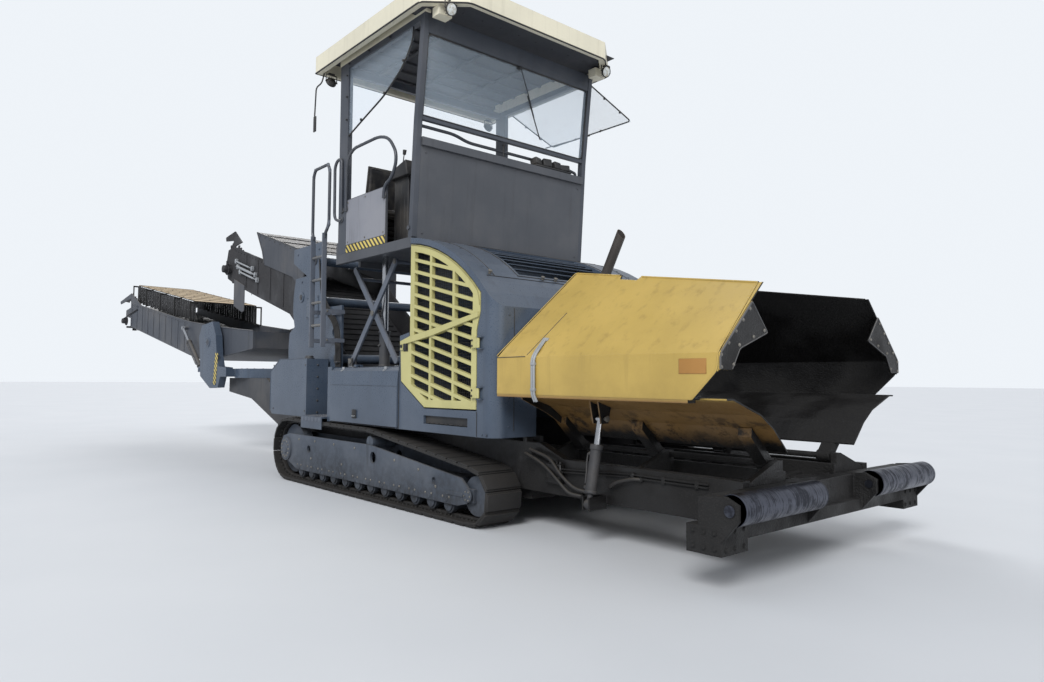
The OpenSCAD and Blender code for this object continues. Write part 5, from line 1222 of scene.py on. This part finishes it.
pods, keys = (bmesh.new() for _ in range(2))
for way in (1, -1):
    for y in (760, 900, 1030):
        foot = at(4430 + (y - 760) * 0.25, way * y, 3706)
        tube(pods, [foot, foot + Vector((0.012, 0, 0.09)), foot + Vector((0.03, 0, 0.15))], 6, bend=0.03)
        turned_bar(pods, foot - Vector((0, 0, 0.012)), foot + Vector((0.004, 0, 0.03)), 30, 13, 18)
        turned_bar(pods, foot + Vector((0.024, 0, 0.12)), foot + Vector((0.036, 0, 0.175)), 18, 22, 16, 6)
    for i in range(4):
        for j in range(6):
            s, y, z = 4560 + i * 30, way * (760 + j * 48), 3676 - i * 5
            brick(keys, s, s + 20, y - 14, y + 14, z, z + 14, 3)
    # Hand wheel and column between the seat and the front wall
    hub = at(4200, way * 860, 3640)
    tube(pods, [at(4040, way * 860, 2805), at(4060, way * 860, 3400), hub], 24, bend=0.1, sides=5)
    tilt = Matrix.Translation(hub) @ turn("Y", -32)
    rim = round_places(28, 0.19)
    tube(pods, [tilt @ Vector((x, y, 0.02)) for x, y in rim + rim[:1]], 13, bend=0.002, sides=5)
    for x, y in round_places(3, 0.187):
        tube(pods, [hub, tilt @ Vector((x, y, 0.02))], 9)
    turned_bar(pods, tilt @ Vector((0, 0, -0.03)), tilt @ Vector((0, 0, 0.03)), 42, 34, 24, 4)
piece("levers_and_wheels", pods, plastic, "platform")
key_caps = painted("key_caps", (120, 122, 128), worn=0.4, dusty=0.3, grimy=0.2, gloss=0.5)
piece("console_keys", keys, key_caps, "platform")
mat_rubber = painted("floor_mat", (44, 45, 48), worn=0.2, dusty=0.8, grimy=0.4, gloss=0.75)
mat = bmesh.new()
for k in range(36):
    y = -1120 + k * 62
    brick(mat, 4010, 5560, y, y + 40, 2801, 2806, 2)
piece("floor_mat", mat, mat_rubber, "platform")


# ---- Seats: vinyl cushions on steel pans, folded suspension boots and the side consoles -------
# Foam pads in black vinyl, sewn in three channels with piping round the top; they rest on a
# pressed pan and lean on a moulded back shell, as on any works machine's sprung seat.
vinyl, tree, shader = blank("seat_vinyl")
place = add(tree, "TexCoord", out="Object")
pores = add(tree, "TexVoronoi", {"Vector": place, "Scale": 420.0}, "Distance")
rubbed = noise(tree, place, 6.0, 7.0, 0.65)
creased = noise(tree, add(tree, "Mapping", {"Vector": place, "Scale": (9.0, 30.0, 9.0)}), 1.0, 6.0)
faded = share_of(tree, rubbed, 0.42, 0.66)
tree.links.new(mixed(tree, faded, rgb(30, 30, 33), rgb(62, 59, 56)), shader.inputs["Base Color"])
tree.links.new(share_of(tree, rubbed, 0.35, 0.7, 0.38, 0.62), shader.inputs["Roughness"])
grain = sum_of(tree, times(tree, pores, 0.25), creased)
tree.links.new(add(tree, "Bump", {"Strength": 0.35, "Distance": 0.003, "Height": grain}), shader.inputs["Normal"])
shader.inputs["Specular IOR Level"].default_value = 0.4


def pad_point(u, v, w, size, channels):
    """A point of a stuffed pad, from -1 to 1 each way: crowned on top, flat below, drawn in at its sides."""
    long, wide, thick = size
    rim = math.sqrt(max(0.0, 1 - 0.55 * w * w))
    x = long / 2 * u * (1 - 0.045 * (1 - v * v)) * (1 - (1 - rim) * 0.30 * abs(u) ** 3)
    y = wide / 2 * v * (1 - 0.045 * (1 - u * u)) * (1 - (1 - rim) * 0.30 * abs(v) ** 3)
    crown = (1 - u ** 4) * (1 - v ** 4)
    z = thick * (0.5 * (w + 1) * (0.62 + 0.38 * crown))
    if w > 0:
        for c in channels:
            z -= w * 0.014 * math.exp(-((u - c) / 0.045) ** 2) * (1 - abs(v) ** 8)
    return Vector((x, y, z))


def pad(name, fit, size, channels):
    form = bmesh.new()
    bmesh.ops.create_cube(form, size=2)
    bmesh.ops.subdivide_edges(form, edges=form.edges, cuts=21, use_grid_fill=True)
    for v in form.verts:
        v.co = fit @ pad_point(*v.co, size, channels)
    made = piece(name, form, vinyl, "platform", angle=60)
    return made


frames, piping, boots = (bmesh.new() for _ in range(3))
cushions = []
piping_height = 0.86
steps = [t / 10 for t in range(-9, 11)]
rim = [(-1, -1), *((t, -1) for t in steps), *((1, t) for t in steps), *((-t, 1) for t in steps),
    *((-1, -t) for t in steps)]
for side, way in both_sides:
    y = way * 850
    leaning = Matrix.Translation(at(5213, y, 3568)) @ turn("Y", -80) @ Matrix.Translation((0, 0, -0.012))
    flat = Matrix.Translation(at(5048, y, 3196))
    for label, fit, size, channels in (("cushion", flat, (0.46, 0.48, 0.098), (-0.42, 0.0, 0.42)),
            ("backrest", leaning, (0.52, 0.44, 0.062), (-0.5, 0.0, 0.5))):
        cushions.append(pad(f"seat_{label}_{side}", fit, size, channels))
        line = [fit @ pad_point(u, v, piping_height, size, ()) for u, v in rim]
        tube(piping, line, 4.5, bend=0.004, sides=3)
    # Pressed pan, base plate and the folded boot round the suspension
    brick(frames, 4812, 5288, y - 236, y + 236, 3181, 3196, 6, 2)
    brick(frames, 4826, 5274, y - 216, y + 216, 3158, 3182, 5, 2)
    for k in range(5):
        fold, z = 10 * (k % 2), 2852 + k * 60
        brick(boots, 4872 + fold, 5228 - fold, y - 176 + fold, y + 176 - fold, z, z + 62, 24, 3)
    brick(frames, 4856, 5244, y - 192, y + 192, 2800.5, 2856, 8, 2)
    # Moulded shell behind the back pad, its two arms and the adjusting lever
    shell = brick(frames, -278, 278, -224, 224, -10, 10, 9, 3)
    set_down(frames, shell, at(5254, y, 3575), turn("Y", -80))
    for dy in (-150, 150):
        side_tube(frames, y + dy, ((5170, 3190), (5236, 3215), (5262, 3420)), 14, bend=0.05, sides=5)
    stub(frames, 4850, 3178, y - way * 232, y - way * 190, 9, sides=10)
    # Side console: moulded pedestal with a sloping top and a raised edge
    middle = way * 900
    brick(frames, 4352, 4648, middle - 148, middle + 148, 2801, 3566, 16, 3)
    for s in (4420, 4500, 4580):
        brick(frames, s, s + 22, middle - 151, middle + 151, 2860, 3500, 3)
    top = bmesh.new()
    outline = ((4300, 3561), (4696, 3561), (4658, 3658), (4342, 3738))
    near, far = [[top.verts.new(at(s, w, z)) for s, z in outline] for w in (middle - 198, middle + 198)]
    top.faces.new(near)
    top.faces.new(far[::-1])
    for k in range(4):
        top.faces.new((near[k], near[k - 1], far[k - 1], far[k]))
    rounded_off(top, top.edges, 0.012, 3)
    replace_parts(piece(f"console_top_{side}", top, plastic, "platform"), "seats")
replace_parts(piece("seat_frames", frames, plastic, "platform"), "seats")
piece("seat_boots", boots, rubber_hose, "platform")
piece("seat_piping", piping, vinyl, "platform")
for cushion in cushions:
    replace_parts(cushion, "seats")


# ---- Main conveyor: bent frame, belt and hood, folded edges, drum motors and take-up rods -----
# The frame's steep part ends at a bend; behind it the upper part rises gently to the head drum.
# Side plates have a bolted edge angle; the head is crusted with mix that falls off the belt.
# Stations where the belt begins to climb, where it bends and where the lower edge does; how far
# the lower edge lies under the belt; station and height of the head drum.
knee, bend_s, low_bend, head_low = 5318, 8000, 8120, 405
drum = (10650, 3220)


def belt_z(s):
    """Height of the belt: level, then steep up to the bend, then gentle."""
    if s < knee:
        return 560.0
    return 560 + (s - knee) * 0.7813 if s < bend_s else 2655.1 + (s - bend_s) * 0.2811


def side_form(bm, outline, y0, y1):
    """A plate cut to an outline of stations and heights, between two widths."""
    face = bm.faces.new([bm.verts.new(at(s, y0, z)) for s, z in outline])
    grown = corners_of(bmesh.ops.extrude_face_region(bm, geom=[face]))
    bmesh.ops.translate(bm, vec=at(0, y1, 0) - at(0, y0, 0), verts=grown)


def belt_loop(bm, outline, thick, y0, y1):
    """An endless belt: an outline of stations and heights, its thickness inward, between two widths."""
    points = [Vector(p) for p in outline]
    turned_left = sum(a.cross(b) for a, b in zip(points, points[1:] + points[:1])) > 0
    inner = []
    for k, p in enumerate(points):
        u, v = ((b - a).normalized() for a, b in ((points[k - 1], p), (p, points[(k + 1) % len(points)])))
        u, v = Vector((-u.y, u.x)), Vector((-v.y, v.x))
        inner.append(p + (u + v) / (1 + u.dot(v)) * (thick if turned_left else -thick))
    skin(bm, [[bm.verts.new(at(p.x, y, p.y)) for p in row]
        for row, y in ((points, y0), (points, y1), (inner, y1), (inner, y0))])


def round_drum(s, z, radius, start, end, count):
    """The belt's way round a drum, between two angles in degrees."""
    angles = [math.radians(start + (end - start) * k / count) for k in range(count + 1)]
    return [(s - radius * math.cos(a), z + radius * math.sin(a)) for a in angles]


def off_belt(s, lift):
    return s, belt_z(s) + lift


gritty = shaded("crusted_plate", crust,
    {"Crust": rgb(40, 40, 43), "Stone": rgb(98, 94, 90), "Lumps": 0.35, "Gloss": 0.6})
coat(gritty, "main_conveyor")
plates = bmesh.new()
for way in (1, -1):
    side_form(plates, [(2470, 410), (knee + 60, 410), off_belt(low_bend, -head_low), off_belt(10400, -head_low),
        (10800, 3070), (10890, 3340), (10800, 3580), off_belt(10590, 225), off_belt(bend_s, 225), (knee, 890),
        (2470, 800)], way * 760, way * 730)
    side_form(plates, [(10150, 3640), (10500, 3880), (10950, 3830), (10930, 3760), (10550, 3720), (10590, 3600)],
        way * 760, way * 740)
    stub(plates, *drum, way * 755, way * 820, 90, sides=36, chamfer=4)
side_form(plates, [(2470, 410), (knee + 40, 410), off_belt(low_bend - 10, -390), off_belt(9750, -390),
    off_belt(9750, -375), off_belt(low_bend - 10, -375), (knee + 38, 425), (2470, 425)], -731, 731)
for s, z, r, core in ((*drum, 158, 60), (2600, 498, 42, 30)):
    stub(plates, s, z, -731, 731, core, sides=24)
    stub(plates, s, z, -598, 598, r, sides=48, chamfer=3)
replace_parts(piece("conveyor_frame", plates, gritty, "chassis"), "main_conveyor")
belt = bmesh.new()
belt_loop(belt, [*round_drum(2600, 498, 62, 270, 90, 12), (knee, 560), off_belt(bend_s, 0),
    *round_drum(*drum, 180, 105.7, -74.3, 20), off_belt(low_bend - 30, -340), (knee + 40, 436)], 16, -600, 600)
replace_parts(piece("conveyor_belt", belt, belt_rubber, "chassis"), "main_belt")
hood = bmesh.new()
for way in (1, -1):
    side_form(hood, [off_belt(7600, 165), (7600, 3162), (9440, 3710), off_belt(9190, 365), off_belt(9100, 165),
        off_belt(bend_s, 165)], way * 760, way * 772)
    side_form(hood, [(9960, 2870), (10450, 3030), (10450, 2560), (10050, 2420), (9960, 2440)], way * 760, way * 772)
side_form(hood, [(7600, 3150), (9440, 3698), (9440, 3710), (7600, 3162)], -772, 772)
hood_paint = painted("hood_sheet_paint", (62, 66, 74), worn=0.5, dusty=0.4, grimy=0.5, low=0.5, gloss=0.5)
coat(hood_paint, "head_hood")
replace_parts(piece("hood_sheets", hood, hood_paint, "chassis"), "head_hood")
edges, ribs, rods, head, sheets = (bmesh.new() for _ in range(5))
for way in (1, -1):
    side_tube(edges, way * 752, ((5420, 970), (bend_s, 2885), off_belt(10560, 228)), 16, bend=0.2)
    side_tube(edges, way * 752, (off_belt(8130, -400), off_belt(10380, -400)), 14)
    for s in range(7820, 10400, 520):
        foot, top = (-360 if s > 8100 else -420), (205 if s > bend_s else 215)
        brick(ribs, s - 4, s + 4, way * 761, way * 769, belt_z(s) + foot, belt_z(s) + top, 2)
    bolt_row(ribs, way * 761, [off_belt(s, 190) for s in range(8080, 10500, 130)], 8, 6)
    # Rods that draw the head drum back to tighten the belt, each in two brackets
    for a, b, drop, wide in ((9560, 10240, 60, 22), (9480, 10130, 130, 16), (9700, 10330, -20, 14)):
        tip, shoulder, end = (at(s, way * 800, belt_z(s) - drop) for s in (a - 160, a, b))
        turned_bar(rods, shoulder, end, wide, wide, 20, 3)
        turned_bar(rods, tip, shoulder, wide * 0.5, sides=14)
        for s in (a - 150, b - 40):
            z = belt_z(s) - drop
            brick(rods, s, s + 40, way * 761, way * 812, z - 34, z + 46, 5)
    stub(head, *drum, way * 820, way * 832, 104, 104, 40, 4)
    stub(head, *drum, way * 830, way * 905, 70, 64, 32, 6)
    bolt_row(head, way * 832, round_places(8, 86, *drum), 9, 8)
    turned_bar(head, at(10560, way * 860, 3290), at(10560, way * 860, 3350), 18, sides=6)
    # Upper guide plates beside the drum
    for k in range(7):
        s = 10080 + k * 92
        z = belt_z(min(s, drum[0]))
        brick(head, s, s + 70, way * 742, way * 762, z + 200, z + 262 + 26 * (k % 3), 6)
    side_tube(sheets, way * 772, ((7606, 2570), (7606, 3160), (9436, 3706), (9196, 3360), (9110, 3150)), 9, bend=0.01)
    bolt_row(sheets, way * 773, [(s, 3122 + (s - 7600) * 0.2978) for s in range(7700, 9400, 200)], 8, 6)
# Scraper at the drum, with ragged rubber and drips of binder
tube(head, [at(10730, -700, 3010), at(10730, 700, 3010)], 24, sides=5)
for k in range(14):
    y = -650 + k * 100
    brick(head, 10722, 10740, y - 44, y + 44, 3000, 3068 + 6 * (k % 2), 3)
    if k % 3 == 0:
        tube(head, [at(10736, y, 3000), at(10738, y + 6, 2920), at(10736, y, 2840 - 12 * k)], 5, sides=3)
for s in (7800, 8400, 9000):
    z = 3162 + (s - 7600) * 0.2978
    brick(sheets, s, s + 40, -768, 768, z, z + 16, 4)
bars = bmesh.new()


def lag(bm, middle, count, size):
    """Bars of rubber round a drum."""
    for k in range(count):
        fit = middle @ turn("Y", 360 * k / count) @ Matrix.Translation((0, 0, size[3]))
        bmesh.ops.create_cube(bm, size=1, matrix=fit @ Matrix.Diagonal((*size[:3], 1)))


lag(bars, Matrix.Translation(at(drum[0], 0, drum[1])), 20, (0.022, 1.16, 0.010, 0.184))
for k in range(46):
    s = 5700 + k * 106
    brick(bars, s, s + 26, -560, 560, belt_z(s) + 6, belt_z(s) + 24, 4)
piece("conveyor_edges", edges, gritty, "chassis")
piece("conveyor_ribs", ribs, gritty, "chassis")
piece("take_up_rods", rods, strap_steel, "chassis")
piece("head_fittings", head, gritty, "chassis")
piece("belt_bars", bars, belt_rubber, "chassis")
piece("hood_sheet_edges", sheets, steel_dark, "chassis")


# ---- Discharge conveyor: edge angles, ribs, curtains, cover bows, motor and scraper -----------
# Rubber curtains close the sides under the dusty cover; its sheet metal is bleached and stained.
# Only the cover's upper side keeps the pale tan; its posts, sides and lower faces carry painted shade, laid on as the
# black crust of mix.
tan = painted("cover_paint", (176, 154, 124), worn=0.3, dusty=0.5, grimy=0.55, low=0.8, gloss=0.7,
    grime=(104, 88, 68), dust=(196, 180, 152), bare=(120, 98, 76))
tree = tan.node_tree
# Faces turned sideways or down get the dark crust: painted shade
shade_facing = times(tree, parted(tree, "Normal")[2], -1)
over(tree, tree.nodes["Principled BSDF"], crust, {"Lumps": 0.4}, share_of(tree, shade_facing, -0.7, -0.3))
coat(tan, "boom_cover")
boom_paint = painted("boom_paint", (64, 69, 78), worn=0.5, dusty=0.4, grimy=0.6, low=0.4, gloss=0.5,
    bare=(92, 86, 80))
coat(boom_paint, "boom_frame")
curtain_rubber = shaded("curtain_rubber", crust,
    {"Crust": rgb(34, 34, 36), "Stone": rgb(84, 80, 74), "Lumps": 0.5, "Gloss": 0.7})


def top_at(l):
    """Height of the frame's upper edge, which rises to the rear."""
    return 2364 + (l - 2300) * 0.17881


def boom_tube(bm, y, places, radius, **more):
    tube(bm, [boom_at(l, y, z) for l, z in places], radius, **more)


edges, curtains, bows, tip = (bmesh.new() for _ in range(4))
boom_drum = (5900, 2565)   # behind the swivel axis, and its height
for way in (1, -1):
    boom_tube(edges, way * 742, ((-420, 2086), (900, 2206), (2300, 2370), (5640, 2966)), 15, bend=0.1)
    boom_tube(edges, way * 742, ((-420, 1796), (600, 1696), (1500, 1616), (2250, 1742), (5640, 2440)), 13, bend=0.1)
    for l in range(2500, 5600, 340):
        boom_plate(edges, l, l + 8, way * 751, way * 757, 1758 + (l - 2250) * 0.206, top_at(l) - 14)
    boom_bolts(edges, way * 751, [(l, top_at(l) - 36) for l in range(2400, 5640, 120)], 8, 6)
    # Curtain with upright folds and a ragged foot
    for k in range(54):
        l, y = 2330 + k * 60.5, 626 if k % 2 else 618
        ragged = 9 * ((k * 7) % 4)
        boom_plate(curtains, l, l + 62, way * (y - 4), way * (y + 4), top_at(l) + 8 + ragged, top_at(l) + 398, 1.5)
    boom_tube(bows, way * 604, [(l, top_at(l) + 412) for l in (2322, 5598)], 8)
    for l in (2322, 5598):
        tube(bows, [boom_at(l, way * 604, top_at(l) + 412), boom_at(l, 0, top_at(l) + 414)], 8)
    # Drum motor and its hose, and the ragged guards above the drum
    boom_stub(tip, *boom_drum, way * 750, way * 766, 96, 96, 36, 4)
    boom_stub(tip, *boom_drum, way * 766, way * 850, 62, 56, 30, 5)
    boom_bolts(tip, way * 766, round_places(6, 78, *boom_drum), 9, 8)
    hose = ((5200, 768, 2780), (5700, 770, 2700), (5830, 800, 2640), (5890, 846, 2600))
    tube(tip, [boom_at(l, way * y, z) for l, y, z in hose], 12, bend=0.1)
    for k in range(9):
        l = 5300 + k * 82
        boom_plate(tip, l, l + 60, way * 728, way * 748, 2980 + 14 * (k % 3), 3050 + 22 * ((k * 5) % 3), 6)
for l in range(2360, 5600, 404):
    boom_plate(bows, l, l + 34, -600, 600, top_at(l) + 410, top_at(l) + 424, 3)
for l in range(2700, 5500, 404):
    for y in (-560, -190, 190, 560):
        bolt(bows, boom_at(l + 17, y, top_at(l) + 430), (0, 0, 1), 7, 5)
for k in range(12):
    y = -560 + k * 102
    boom_plate(tip, 5960, 5978, y - 44, y + 44, 2360 + 8 * (k % 3), 2430, 3)
tube(tip, [boom_at(5968, -730, 2436), boom_at(5968, 730, 2436)], 22, sides=5)
lagging = bmesh.new()
lag(lagging, Matrix.Translation(boom_at(5900, 0, 2565)) @ turn("Z", rest_swivel), 22, (0.02, 1.14, 0.010, 0.178))
piece("boom_edges", edges, boom_paint, "boom")
piece("boom_curtains", curtains, curtain_rubber, "boom")
piece("cover_bows", bows, tan, "boom")
piece("boom_head_fittings", tip, gritty, "boom")
piece("boom_belt_bars", lagging, belt_rubber, "boom")
